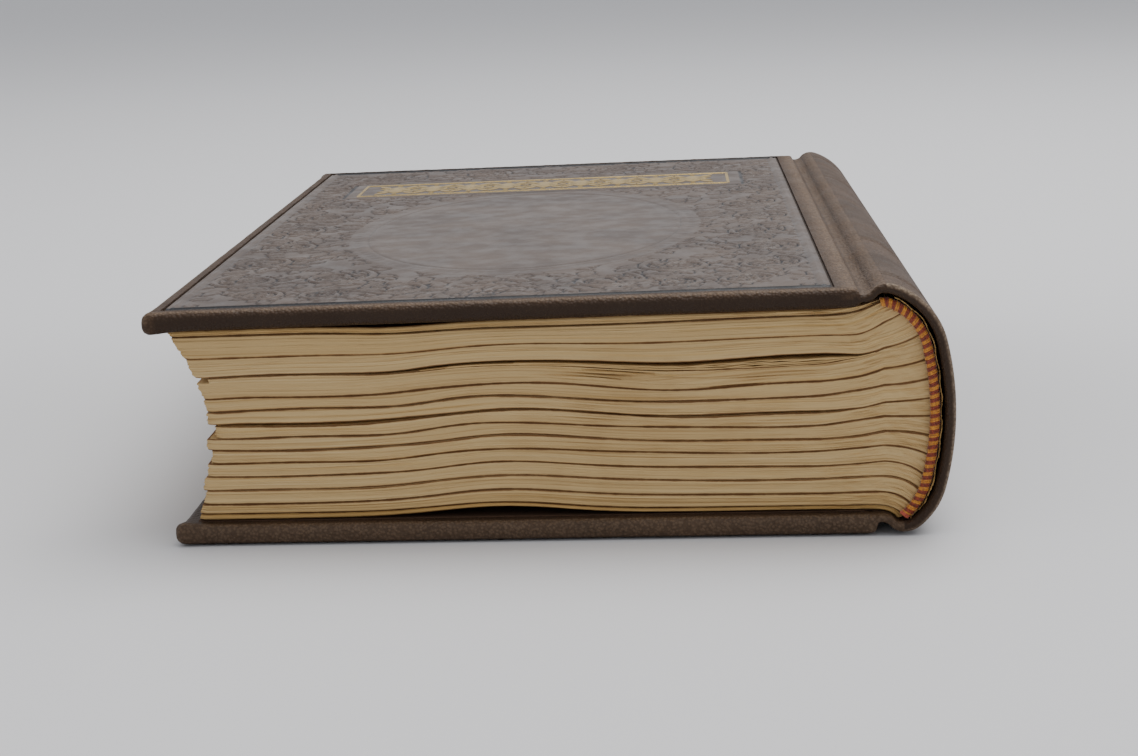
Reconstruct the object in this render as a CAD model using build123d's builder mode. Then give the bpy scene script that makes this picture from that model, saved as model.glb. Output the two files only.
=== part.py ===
from build123d import *

import math
import os

# Leather-bound book, closed and lying on its lower cover. Millimetres.
# X runs from the fore edge to the spine, Y from tail to head, and Z up.
# The origin lies on the resting face, under the middle of the whole book.

# Covers: a board with leather drawn round it, and paper pasted inside.
COVER_HEIGHT = 250.0
COVER_WIDTH = 160.8
BOARD_THICKNESS = 3.0
BOARD_CORNER_RADIUS = 2.4
BOARD_EDGE_RADIUS = 1.2
LEATHER = 0.8
TURN_IN = 14.0
SPINE_LIP_WIDTH = 2.2
SPINE_LIP_DEPTH = 2.6
PASTEDOWN = 0.2
PASTEDOWN_MARGIN = 4.0
PASTEDOWN_SPINE_MARGIN = 2.4

# Blind-tooled line that frames the decorated panel on each cover.
PANEL_MARGIN = 3.2
PANEL_SPINE_MARGIN = 5.0
PANEL_LINE_WIDTH = 0.6
PANEL_LINE_DEPTH = 0.3

# Pages: thickness at the joint, and the slope the swollen spine gives the top.
PAGES_THICKNESS = 47.2
SWELL_ANGLE = 0.8
COVER_CLEARANCE = 0.2
END_SQUARE = 3.5
UPPER_FORE_SQUARE = 4.5
LOWER_FORE_SQUARE = 3.7
FORE_EDGE_HOLLOW = 5.9

# Joints: from a cover's edge to its ridge, and the groove in between.
JOINT_WIDTH = 6.2
JOINT_GAP = 0.3
RIDGE_RISE = 0.9
RIDGE_LIFT = 0.5
GROOVE_SLOPE = 51.2
GROOVE_FLAT = 0.9
GROOVE_RIDGE_SHARE = 0.625

# Back: radii of the leather's arcs between fixed headings. A heading is the angle
# turned from the upper crest (0) over the back to the lower crest (180).
HEADINGS = (0.0, 20.0, 76.0, 104.0, 140.0, 180.0)
UPPER_RIDGE_RADIUS = 6.0
UPPER_SHOULDER_RADIUS = 18.5
LOWER_SHOULDER_RADIUS = 17.0
LOWER_RIDGE_RADIUS = 6.0

# Layers of the back, outside in.
STIFFENER = 0.8
HOLLOW = 0.9
SPINE_LINING = 0.3
MULL = 0.4
BACK_BUILD = 2 * LEATHER + STIFFENER + HOLLOW + SPINE_LINING + MULL
LOWER_TIP_BUILD = 2 * LEATHER + STIFFENER
LOWER_SHOULDER_INSET = 2.0
LOWER_RIDGE_INSET = 3.0
STIFFENER_SPAN = (22.0, 132.0)
SPINE_TURN_IN = 12.0
LINING_SPAN = (26.0, 126.0)
MULL_SPAN = (16.0, 146.0)
TIP_RISE_RADIUS = 10.0
LOWER_TIP_RISE_RADIUS = 6.5

# Endbands: a worked bead at each end of the back, on a strip of tape.
ENDBAND_SPAN = (20.0, 140.0)
ENDBAND_WIDTH = 2.5
ENDBAND_HEIGHT = 2.0
ENDBAND_ROUNDING = 0.8
ENDBAND_TAPE = 0.3
ENDBAND_TAPE_LENGTH = 12.0
ENDBAND_TAPE_GAP = 1.5

# Linen tapes that the sections are sewn on, let in flush with the back.
TAPE_COUNT = 4
TAPE_WIDTH = 14.0
TAPE_THICKNESS = 0.4
TAPE_SPACING = 52.0
TAPE_SPAN = (24.0, 138.0)

COVER_THICKNESS = BOARD_THICKNESS + 2 * LEATHER
COVER_STACK = COVER_THICKNESS + PASTEDOWN + COVER_CLEARANCE
PAGES_HEIGHT = COVER_HEIGHT - 2 * END_SQUARE


def circle_point(centre, radius, heading):
    """Point of a circle in X and Z where a line turning clockwise has this heading."""
    turned = math.radians(heading)
    return (centre[0] + radius * math.sin(turned), centre[1] + radius * math.cos(turned))


def back_arcs(crest, foot_z, upper_radii, lower_radii):
    """Tangent arcs of a back line, as centre, radius and the headings it runs between.

    The line starts at the crest. The arc in the middle takes the radius that
    makes the line end at height foot_z. The two end arcs run on past the crests.
    """
    turns = [math.radians(heading) for heading in HEADINGS]
    drops = [math.cos(a) - math.cos(b) for a, b in zip(turns[:-1], turns[1:])]
    ends = sum(r * d for r, d in zip(upper_radii, drops[:2]))
    ends += sum(r * d for r, d in zip(lower_radii, drops[3:]))
    middle = (crest[1] - foot_z - ends) / drops[2]
    radii = [*upper_radii, middle, *lower_radii]
    bounds = (-90.0, *HEADINGS[1:-1], 270.0)
    arcs = []
    point = crest
    for index, radius in enumerate(radii):
        centre = circle_point(point, -radius, HEADINGS[index])
        arcs.append((centre, radius, bounds[index], bounds[index + 1]))
        point = circle_point(centre, radius, HEADINGS[index + 1])
    return arcs


def draw_back(arcs, inset, start, end):
    """Draw a back line between two headings, set in by inset, and return its ends."""
    drawn = []
    for centre, radius, first, last in arcs:
        low = max(first, start)
        high = min(last, end)
        if low < high:
            middle = (low + high) / 2
            points = [circle_point(centre, radius - inset, h) for h in (low, middle, high)]
            drawn.append(points)
            ThreePointArc(*points)
    return drawn[0][0], drawn[-1][-1]


def draw_layer(arcs, outside, inside, span):
    """Draw the closed outline of a layer of the back between two insets."""
    outer = draw_back(arcs, outside, *span)
    inner = draw_back(arcs, inside, *span)
    Line(outer[0], inner[0])
    Line(outer[1], inner[1])


def draw_groove(crest, side, inset, edge_x):
    """Draw the leather of a joint from a cover's edge to a crest; side is 1 above.

    Two tangent arcs, over the ridge and through the groove, span the joint's width
    less the flat that lies beside the cover. Between them the leather slopes most.
    """
    slope = GROOVE_SLOPE
    span = JOINT_WIDTH - JOINT_GAP - GROOVE_FLAT
    radii = span / math.sin(math.radians(slope))
    drop = radii * (1 - math.cos(math.radians(slope)))
    ridge_radius = GROOVE_RIDGE_SHARE * radii
    valley_radius = radii - ridge_radius

    def mirrored(centre_drop, radius, heading):
        x, z = circle_point((0.0, -centre_drop), radius, heading)
        return (crest[0] + x, crest[1] + side * z)

    ridge = [mirrored(ridge_radius, ridge_radius - inset, h) for h in (0, -slope / 2, -slope)]
    valley = []
    for heading in (180 - slope, 180 - slope / 2, 180):
        x, z = mirrored(drop - valley_radius, valley_radius + inset, heading)
        valley.append((x - span, z))
    edge = (edge_x, valley[-1][1])
    ThreePointArc(*ridge)
    ThreePointArc(*valley)
    Line(valley[-1], edge)
    return edge


def pages_tip(face, tip, rise_radius):
    """Arc that lifts a face of the pages to a shoulder tip, tangent to both.

    face is the plane of the pages' face, tip the tip's centre and radius. Returns the
    arc's three points, from the face to the tip.
    """
    along = (face.x_dir.X, face.x_dir.Z)
    out = (face.z_dir.X, face.z_dir.Z)
    centre, radius = tip
    from_tip = (
        face.origin.X + rise_radius * out[0] - centre[0],
        face.origin.Z + rise_radius * out[1] - centre[1],
    )
    run = from_tip[0] * along[0] + from_tip[1] * along[1]
    reach = rise_radius + radius
    step = -run - math.sqrt(run**2 - math.hypot(*from_tip) ** 2 + reach**2)
    rise = (
        centre[0] + from_tip[0] + step * along[0],
        centre[1] + from_tip[1] + step * along[1],
    )
    on_face = (rise[0] - rise_radius * out[0], rise[1] - rise_radius * out[1])
    on_tip = (
        centre[0] + (rise[0] - centre[0]) * radius / reach,
        centre[1] + (rise[1] - centre[1]) * radius / reach,
    )
    half_way = ((on_face[0] + on_tip[0]) / 2 - rise[0], (on_face[1] + on_tip[1]) / 2 - rise[1])
    scale = rise_radius / math.hypot(*half_way)
    middle = (rise[0] + half_way[0] * scale, rise[1] + half_way[1] * scale)
    return on_face, middle, on_tip


def heading_of(point, centre):
    """Heading of a point on a circle, from -90 to 270 degrees."""
    angle = math.degrees(math.atan2(point[0] - centre[0], point[1] - centre[1]))
    return angle if angle >= -90.0 else angle + 360.0


def finish(part, name):
    """Label a finished piece and write it to its own file."""
    part.label = name
    export_step(part, f"parts/{name}.step")


# Heights of the covers and ridges, then the widths that follow from the back.
UPPER_EDGE_Z = 2 * COVER_STACK + PAGES_THICKNESS
UPPER_CREST_Z = UPPER_EDGE_Z + RIDGE_RISE
UPPER_RADII = (UPPER_RIDGE_RADIUS, UPPER_SHOULDER_RADIUS)
LOWER_RADII = (LOWER_SHOULDER_RADIUS, LOWER_RIDGE_RADIUS)
TRIAL_BACK = back_arcs((0.0, UPPER_CREST_Z), RIDGE_LIFT, UPPER_RADII, LOWER_RADII)
BACK_REACH = TRIAL_BACK[2][0][0] + TRIAL_BACK[2][1]

SWELL = math.radians(SWELL_ANGLE)
HALF_WIDTH = (COVER_WIDTH * math.cos(SWELL) + JOINT_WIDTH + BACK_REACH) / 2
UPPER_CREST = (HALF_WIDTH - BACK_REACH, UPPER_CREST_Z)
LEATHER_ARCS = back_arcs(UPPER_CREST, RIDGE_LIFT, UPPER_RADII, LOWER_RADII)
LOWER_CREST = circle_point(LEATHER_ARCS[-1][0], LEATHER_ARCS[-1][1], 180.0)

BLOCK_ARCS = back_arcs(
    (UPPER_CREST[0], UPPER_CREST[1] - BACK_BUILD),
    LOWER_CREST[1] + LOWER_TIP_BUILD,
    [radius - BACK_BUILD for radius in UPPER_RADII],
    [LOWER_SHOULDER_RADIUS - LOWER_SHOULDER_INSET, LOWER_RIDGE_RADIUS - LOWER_RIDGE_INSET],
)

# Each cover's plane lies on its outer face, at the edge beside the joint, with X
# towards the spine and Z outwards.
UPPER_COVER = Plane(
    origin=(UPPER_CREST[0] - JOINT_WIDTH, 0, UPPER_EDGE_Z),
    x_dir=(math.cos(SWELL), 0, math.sin(SWELL)),
    z_dir=(-math.sin(SWELL), 0, math.cos(SWELL)),
)
LOWER_COVER = Plane(
    origin=(LOWER_CREST[0] - JOINT_WIDTH, 0, 0),
    x_dir=(1, 0, 0),
    z_dir=(0, 0, -1),
)

os.makedirs("parts", exist_ok=True)


def build_board(cover):
    """Cover board with rounded corners and eased edges."""
    width = COVER_WIDTH - 2 * LEATHER
    height = COVER_HEIGHT - 2 * LEATHER
    with BuildPart() as board:
        with BuildSketch(cover.offset(-LEATHER)):
            with Locations((-COVER_WIDTH / 2, 0)):
                RectangleRounded(width, height, BOARD_CORNER_RADIUS)
        extrude(amount=-BOARD_THICKNESS)
        fillet(board.faces().filter_by(cover).edges(), BOARD_EDGE_RADIUS)
    return board.part


def build_cover_leather(cover, board):
    """Leather over a board's outer face and edges, turned in on three sides."""
    middle = (-COVER_WIDTH / 2, 0)
    panel_width = COVER_WIDTH - PANEL_MARGIN - PANEL_SPINE_MARGIN
    panel_middle = ((PANEL_MARGIN - PANEL_SPINE_MARGIN - COVER_WIDTH) / 2, 0)
    panel_height = COVER_HEIGHT - 2 * PANEL_MARGIN
    lip_height = COVER_THICKNESS - SPINE_LIP_DEPTH
    with BuildPart() as leather:
        with BuildSketch(cover):
            with Locations(middle):
                RectangleRounded(COVER_WIDTH, COVER_HEIGHT, BOARD_CORNER_RADIUS + LEATHER)
        extrude(amount=-COVER_THICKNESS)
        fillet(leather.faces().filter_by(cover).edges(), BOARD_EDGE_RADIUS + LEATHER)
        add(board, mode=Mode.SUBTRACT)
        # The window inside the turn-ins.
        with BuildSketch(cover.offset(-COVER_THICKNESS)):
            with Locations((-COVER_WIDTH + TURN_IN, 0)):
                Rectangle(
                    COVER_WIDTH,
                    COVER_HEIGHT - 2 * TURN_IN,
                    align=(Align.MIN, Align.CENTER),
                )
        extrude(amount=LEATHER + BOARD_THICKNESS / 2, mode=Mode.SUBTRACT)
        # The leather ends part of the way down the edge beside the joint.
        with BuildSketch(cover.offset(-COVER_THICKNESS)):
            with Locations((-SPINE_LIP_WIDTH, 0)):
                Rectangle(COVER_WIDTH, COVER_HEIGHT, align=(Align.MIN, Align.CENTER))
        extrude(amount=lip_height, mode=Mode.SUBTRACT)
        # The tooled frame line.
        with BuildSketch(cover):
            with Locations(panel_middle):
                Rectangle(panel_width, panel_height)
                Rectangle(
                    panel_width - 2 * PANEL_LINE_WIDTH,
                    panel_height - 2 * PANEL_LINE_WIDTH,
                    mode=Mode.SUBTRACT,
                )
        extrude(amount=-PANEL_LINE_DEPTH, mode=Mode.SUBTRACT)
    return leather.part


def build_pastedown(cover):
    """Endpaper leaf pasted over the turn-ins and down onto the board between them."""
    inner_face = cover.offset(-COVER_THICKNESS)
    sheet_width = COVER_WIDTH - PASTEDOWN_MARGIN - PASTEDOWN_SPINE_MARGIN
    sheet_height = COVER_HEIGHT - 2 * PASTEDOWN_MARGIN
    window_width = COVER_WIDTH - TURN_IN - PASTEDOWN_SPINE_MARGIN
    window_height = COVER_HEIGHT - 2 * TURN_IN
    spine_side = (-PASTEDOWN_SPINE_MARGIN, 0)
    with BuildPart() as pastedown:
        with BuildSketch(inner_face):
            with Locations(spine_side):
                Rectangle(sheet_width, sheet_height, align=(Align.MAX, Align.CENTER))
        extrude(amount=-PASTEDOWN)
        with BuildSketch(inner_face.offset(LEATHER)):
            with Locations(spine_side):
                Rectangle(window_width, window_height, align=(Align.MAX, Align.CENTER))
        extrude(amount=-LEATHER)
        with BuildSketch(inner_face.offset(-PASTEDOWN)):
            with Locations(spine_side):
                Rectangle(
                    window_width - PASTEDOWN,
                    window_height - 2 * PASTEDOWN,
                    align=(Align.MAX, Align.CENTER),
                )
        extrude(amount=LEATHER, mode=Mode.SUBTRACT)
    return pastedown.part


for cover_name, cover_plane in (("upper", UPPER_COVER), ("lower", LOWER_COVER)):
    cover_board = build_board(cover_plane)
    cover_leather = build_cover_leather(cover_plane, cover_board)
    finish(cover_board, f"{cover_name}_board")
    finish(cover_leather, f"{cover_name}_cover_leather")
    finish(build_pastedown(cover_plane), f"{cover_name}_pastedown")


# Text block: every section, the flyleaves and the glue of the back in one solid.
UPPER_FACE = UPPER_COVER.offset(-COVER_STACK)
LOWER_FACE = LOWER_COVER.offset(-COVER_STACK)
TAPE_STATIONS = [(index - (TAPE_COUNT - 1) / 2) * TAPE_SPACING for index in range(TAPE_COUNT)]

upper_tip = (BLOCK_ARCS[0][0], BLOCK_ARCS[0][1])
lower_tip = (BLOCK_ARCS[-1][0], BLOCK_ARCS[-1][1])
upper_rise = pages_tip(UPPER_FACE, upper_tip, TIP_RISE_RADIUS)
lower_rise = pages_tip(LOWER_FACE, lower_tip, LOWER_TIP_RISE_RADIUS)
upper_fore = UPPER_FACE.from_local_coords((UPPER_FORE_SQUARE - COVER_WIDTH, 0, 0))
lower_fore = LOWER_FACE.from_local_coords((LOWER_FORE_SQUARE - COVER_WIDTH, 0, 0))
fore_chord = (lower_fore - upper_fore).normalized()
fore_middle = (upper_fore + lower_fore) / 2 + fore_chord.cross(Vector(0, 1, 0)) * FORE_EDGE_HOLLOW

with BuildPart() as text_block:
    with BuildSketch(Plane.XZ):
        with BuildLine():
            Line((upper_fore.X, upper_fore.Z), upper_rise[0])
            ThreePointArc(*upper_rise)
            draw_back(
                BLOCK_ARCS,
                0.0,
                heading_of(upper_rise[2], upper_tip[0]),
                heading_of(lower_rise[2], lower_tip[0]),
            )
            ThreePointArc(*lower_rise)
            Line(lower_rise[0], (lower_fore.X, lower_fore.Z))
            ThreePointArc(
                (lower_fore.X, lower_fore.Z),
                (fore_middle.X, fore_middle.Z),
                (upper_fore.X, upper_fore.Z),
            )
        make_face()
    extrude(amount=PAGES_HEIGHT / 2, both=True)
    # Shallow seats for the tapes.
    for station in TAPE_STATIONS:
        with BuildSketch(Plane.XZ.offset(-station)):
            with BuildLine():
                draw_layer(BLOCK_ARCS, 0.0, TAPE_THICKNESS, TAPE_SPAN)
            make_face()
        extrude(amount=TAPE_WIDTH / 2, both=True, mode=Mode.SUBTRACT)
finish(text_block.part, "text_block")

for number, station in enumerate(TAPE_STATIONS, start=1):
    with BuildPart() as sewing_tape:
        with BuildSketch(Plane.XZ.offset(-station)):
            with BuildLine():
                draw_layer(BLOCK_ARCS, 0.0, TAPE_THICKNESS, TAPE_SPAN)
            make_face()
        extrude(amount=TAPE_WIDTH / 2, both=True)
    finish(sewing_tape.part, f"sewing_tape_{number}")

# Open cloth glued over the back, clear of the endbands' tapes.
LINED_HEIGHT = PAGES_HEIGHT - 2 * (ENDBAND_TAPE_LENGTH + ENDBAND_TAPE_GAP)
with BuildPart() as mull:
    with BuildSketch(Plane.XZ):
        with BuildLine():
            draw_layer(BLOCK_ARCS, -MULL, 0.0, MULL_SPAN)
        make_face()
    extrude(amount=LINED_HEIGHT / 2, both=True)
finish(mull.part, "mull")

# Paper over the cloth.
with BuildPart() as spine_lining:
    with BuildSketch(Plane.XZ):
        with BuildLine():
            draw_layer(BLOCK_ARCS, -MULL - SPINE_LINING, -MULL, LINING_SPAN)
        make_face()
    extrude(amount=LINED_HEIGHT / 2, both=True)
finish(spine_lining.part, "spine_lining")

# Endbands: the tape lies on the back, and the bead stands on the ends of the pages.
for endband_name, side in (("tail_endband", 1), ("head_endband", -1)):
    pages_end = Plane.XZ.offset(side * PAGES_HEIGHT / 2)
    bead_face = -side * (PAGES_HEIGHT / 2 + ENDBAND_HEIGHT)
    with BuildPart() as endband:
        with BuildSketch(pages_end):
            with BuildLine():
                draw_layer(BLOCK_ARCS, -ENDBAND_TAPE, ENDBAND_WIDTH, ENDBAND_SPAN)
            make_face()
        extrude(amount=side * ENDBAND_HEIGHT)
        bead_end = endband.faces().filter_by_position(Axis.Y, bead_face, bead_face)
        fillet(bead_end.edges(), ENDBAND_ROUNDING)
        with BuildSketch(pages_end):
            with BuildLine():
                draw_layer(BLOCK_ARCS, -ENDBAND_TAPE, 0.0, ENDBAND_SPAN)
            make_face()
        extrude(amount=-side * ENDBAND_TAPE_LENGTH)
    finish(endband.part, endband_name)

# Card that keeps the leather of the back round.
STIFFENER_INSETS = (LEATHER, LEATHER + STIFFENER)
with BuildPart() as spine_stiffener:
    with BuildSketch(Plane.XZ):
        with BuildLine():
            draw_layer(LEATHER_ARCS, *STIFFENER_INSETS, STIFFENER_SPAN)
        make_face()
    extrude(amount=COVER_HEIGHT / 2 - LEATHER, both=True)
finish(spine_stiffener.part, "spine_stiffener")

# Leather of the back and both joints, turned in over the ends of the card.
TURNED_INSET = STIFFENER_INSETS[1] + LEATHER
with BuildPart() as spine_leather:
    with BuildSketch(Plane.XZ):
        with BuildLine():
            skin_ends = []
            for skin_inset in (0.0, LEATHER):
                draw_back(LEATHER_ARCS, skin_inset, 0.0, 180.0)
                for crest, side, cover_plane in (
                    (UPPER_CREST, 1, UPPER_COVER),
                    (LOWER_CREST, -1, LOWER_COVER),
                ):
                    edge_x = cover_plane.origin.X + JOINT_GAP
                    skin_ends.append(draw_groove(crest, side, skin_inset, edge_x))
            Line(skin_ends[0], skin_ends[2])
            Line(skin_ends[1], skin_ends[3])
        make_face()
    extrude(amount=COVER_HEIGHT / 2, both=True)
    for side in (1, -1):
        with BuildSketch(Plane.XZ.offset(side * COVER_HEIGHT / 2)):
            with BuildLine():
                draw_layer(LEATHER_ARCS, LEATHER, TURNED_INSET, STIFFENER_SPAN)
            make_face()
        extrude(amount=-side * LEATHER)
        with BuildSketch(Plane.XZ.offset(side * COVER_HEIGHT / 2)):
            with BuildLine():
                draw_layer(LEATHER_ARCS, STIFFENER_INSETS[1], TURNED_INSET, STIFFENER_SPAN)
            make_face()
        extrude(amount=-side * SPINE_TURN_IN)
finish(spine_leather.part, "spine_leather")
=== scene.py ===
"""An old leather-bound book lying closed on its lower cover, its tail towards the viewer."""

import logging
import math
import random
from contextlib import contextmanager
from dataclasses import dataclass, field
from enum import Enum
from typing import Iterator, Optional, Sequence

import bpy
import numpy as np
from mathutils import Matrix, Vector, noise


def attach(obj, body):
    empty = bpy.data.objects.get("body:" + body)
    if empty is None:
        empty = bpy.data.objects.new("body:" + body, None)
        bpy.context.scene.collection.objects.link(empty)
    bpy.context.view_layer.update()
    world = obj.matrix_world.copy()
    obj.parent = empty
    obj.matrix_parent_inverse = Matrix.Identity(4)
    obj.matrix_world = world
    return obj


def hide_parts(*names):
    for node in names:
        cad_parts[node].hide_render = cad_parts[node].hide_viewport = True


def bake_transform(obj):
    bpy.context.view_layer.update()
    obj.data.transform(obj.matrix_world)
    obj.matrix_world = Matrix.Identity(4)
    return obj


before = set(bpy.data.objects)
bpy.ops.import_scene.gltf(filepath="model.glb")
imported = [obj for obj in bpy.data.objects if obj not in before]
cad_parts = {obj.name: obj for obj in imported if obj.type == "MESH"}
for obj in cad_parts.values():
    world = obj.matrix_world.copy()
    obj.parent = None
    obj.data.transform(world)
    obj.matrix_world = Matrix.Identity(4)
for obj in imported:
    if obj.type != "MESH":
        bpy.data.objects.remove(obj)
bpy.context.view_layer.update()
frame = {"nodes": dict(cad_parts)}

LOG = logging.getLogger("book")
MM = 0.001

Points = np.ndarray
Piece = bpy.types.Object
Material = bpy.types.Material
Socket = bpy.types.NodeSocket
Pair = tuple[float, float]
Triple = tuple[float, float, float]
Colour = tuple[float, float, float, float]
SectionLine = tuple[Points, Points, Points, Points]


class Body(str, Enum):
    """The three bodies that the pieces ride on."""

    BLOCK = "block"
    UPPER = "upper_cover"
    LOWER = "lower_cover"


class Side(int, Enum):
    """Which cover a shape belongs to. The lower one is drawn upside down."""

    UPPER = 1
    LOWER = -1


class End(int, Enum):
    """The tail of the book is towards the viewer and the head away."""

    TAIL = -1
    HEAD = 1


# ---------------------------------------------------------------------------
# Bench: the few shaping moves that every piece uses
# ---------------------------------------------------------------------------


class Bench:
    """Starts, shapes and finishes meshes."""

    @staticmethod
    def clear() -> None:
        """Leaves nothing selected."""
        if bpy.context.mode != "OBJECT":
            bpy.ops.object.mode_set(mode="OBJECT")
        bpy.ops.object.select_all(action="DESELECT")

    @staticmethod
    @contextmanager
    def editing() -> Iterator[None]:
        """Opens the active mesh with all of it selected, and closes it again."""
        bpy.ops.object.mode_set(mode="EDIT")
        bpy.ops.mesh.select_all(action="SELECT")
        yield
        bpy.ops.object.mode_set(mode="OBJECT")

    @classmethod
    def only(cls, piece: Piece) -> None:
        """Makes piece the one selected and active object."""
        cls.clear()
        piece.select_set(True)
        bpy.context.view_layer.objects.active = piece

    @classmethod
    def take(cls, name: str) -> Piece:
        """Names the new primitive and settles its place into its mesh.

        Args:
            name: The piece's name.

        Returns:
            The object, at the origin.
        """
        piece = bpy.context.object
        piece.name = piece.data.name = name
        cls.only(piece)
        bpy.ops.object.transform_apply(location=True, rotation=True, scale=True)
        return piece

    @classmethod
    def sheet(cls, name: str, across: int, along: int) -> Piece:
        """A grid one unit square, cut into across by along faces.

        Args:
            name: The piece's name.
            across: Faces in X.
            along: Faces in Y.

        Returns:
            The grid, from (0, 0, 0) to (1, 1, 0).
        """
        cls.clear()
        bpy.ops.mesh.primitive_grid_add(
            x_subdivisions=across, y_subdivisions=along, size=1, location=(0.5, 0.5, 0)
        )
        return cls.take(name)

    @classmethod
    def disc(cls, name: str, corners: int) -> Piece:
        """A flat face of unit radius with this many corners."""
        cls.clear()
        bpy.ops.mesh.primitive_circle_add(vertices=corners, radius=1, fill_type="NGON")
        return cls.take(name)

    @classmethod
    def blank(cls, name: str, across: int, along: int, deep: int) -> Piece:
        """A unit cube of many faces: a grid drawn up in even steps.

        Args:
            name: The piece's name.
            across: Faces in X.
            along: Faces in Y.
            deep: Steps in Z.

        Returns:
            The closed cube, from (0, 0, 0) to (1, 1, 1).
        """
        piece = cls.sheet(name, across, along)
        with cls.editing():
            for _ in range(deep):
                bpy.ops.mesh.extrude_region_move(TRANSFORM_OT_translate={"value": (0, 0, 1 / deep)})
        cls.outward(piece)
        return piece

    @staticmethod
    def points(piece: Piece) -> Points:
        """The piece's points as an array of rows."""
        flat = np.zeros(len(piece.data.vertices) * 3, np.float32)
        piece.data.vertices.foreach_get("co", flat)
        return flat.reshape(-1, 3).astype(float)

    @staticmethod
    def put(piece: Piece, points: Points) -> None:
        """Moves the piece's points to the rows given, in metres."""
        piece.data.vertices.foreach_set("co", points.astype(np.float32).ravel())
        piece.data.update()

    @staticmethod
    def mark(piece: Piece, name: str, values: Points) -> None:
        """Keeps one number a point on the mesh, for a finish to read."""
        layer = piece.data.attributes.get(name) or piece.data.attributes.new(name, "FLOAT", "POINT")
        layer.data.foreach_set("value", np.asarray(values, np.float32))

    @classmethod
    def merge(cls, piece: Piece, distance: float = 2e-6) -> None:
        """Joins points that lie on each other."""
        cls.only(piece)
        with cls.editing():
            bpy.ops.mesh.remove_doubles(threshold=distance)
            bpy.ops.mesh.dissolve_degenerate(threshold=1e-7)

    @classmethod
    def outward(cls, piece: Piece) -> None:
        """Turns every face outwards."""
        cls.only(piece)
        with cls.editing():
            bpy.ops.mesh.normals_make_consistent(inside=False)

    @classmethod
    def drop(cls, piece: Piece, unwanted: Sequence[int]) -> None:
        """Deletes the faces with these numbers."""
        cls.only(piece)
        bpy.ops.object.mode_set(mode="EDIT")
        bpy.ops.mesh.select_mode(type="FACE")
        bpy.ops.mesh.select_all(action="DESELECT")
        bpy.ops.object.mode_set(mode="OBJECT")
        for number in unwanted:
            piece.data.polygons[number].select = True
        bpy.ops.object.mode_set(mode="EDIT")
        bpy.ops.mesh.delete(type="FACE")
        bpy.ops.mesh.select_mode(type="VERT")
        bpy.ops.object.mode_set(mode="OBJECT")

    @classmethod
    def thicken(cls, piece: Piece, thickness: float, offset: float = -1.0) -> None:
        """Gives a skin its thickness, in metres, inwards unless offset says otherwise."""
        cls.only(piece)
        wall = piece.modifiers.new("wall", "SOLIDIFY")
        wall.thickness = thickness
        wall.offset = offset
        wall.use_even_offset = False
        bpy.ops.object.modifier_apply(modifier=wall.name)

    @classmethod
    def soften(cls, piece: Piece, angle: float = 35.0) -> None:
        """Shades smooth, and keeps edges sharper than angle, in degrees."""
        cls.only(piece)
        bpy.ops.object.shade_smooth_by_angle(angle=math.radians(angle))

    @classmethod
    def copy(cls, piece: Piece, name: str) -> Piece:
        """A copy of piece with its own mesh."""
        twin = piece.copy()
        twin.data = piece.data.copy()
        twin.name = twin.data.name = name
        bpy.context.scene.collection.objects.link(twin)
        return twin

    @classmethod
    def join(cls, pieces: Sequence[Piece], name: str) -> Piece:
        """Joins pieces into the first one.

        Args:
            pieces: The objects to join.
            name: The joined piece's name.

        Returns:
            The joined object.
        """
        cls.clear()
        for piece in pieces:
            piece.select_set(True)
        bpy.context.view_layer.objects.active = pieces[0]
        bpy.ops.object.join()
        joined = bpy.context.object
        joined.name = joined.data.name = name
        return joined

    @classmethod
    def remove(cls, piece: Piece) -> None:
        """Takes a finished pattern piece away."""
        mesh = piece.data
        bpy.data.objects.remove(piece)
        bpy.data.meshes.remove(mesh)


def report(piece: Piece) -> None:
    """Logs a finished piece and its number of faces."""
    LOG.info("%s: %d faces", piece.name, len(piece.data.polygons))


def pebble(piece: Piece, height: float, size: float = 0.95) -> None:
    """Raises the grain of leather on a skin.

    Args:
        piece: The skin, with its faces outwards.
        height: How high the pebbles stand, in millimetres.
        size: Their size, in millimetres.
    """
    points = Bench.points(piece)
    normals = np.zeros(len(points) * 3, np.float32)
    piece.data.vertices.foreach_get("normal", normals)
    raised = np.array([0.45 - noise.voronoi(Vector(place))[0][0] for place in points / (size * MM)])
    Bench.put(piece, points + normals.reshape(-1, 3) * raised[:, None] * height * MM)


def bell(value: Points, centre: float, width: float) -> Points:
    """A smooth hump that is 1 at centre and has faded out at twice its width."""
    return np.exp(-(((value - centre) / width) ** 2))


def smoothstep(value: Points) -> Points:
    """0 below 0, 1 above 1, and an even turn between."""
    t = np.clip(value, 0.0, 1.0)
    return t * t * (3 - 2 * t)


# ---------------------------------------------------------------------------
# Finishes
# ---------------------------------------------------------------------------


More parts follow.
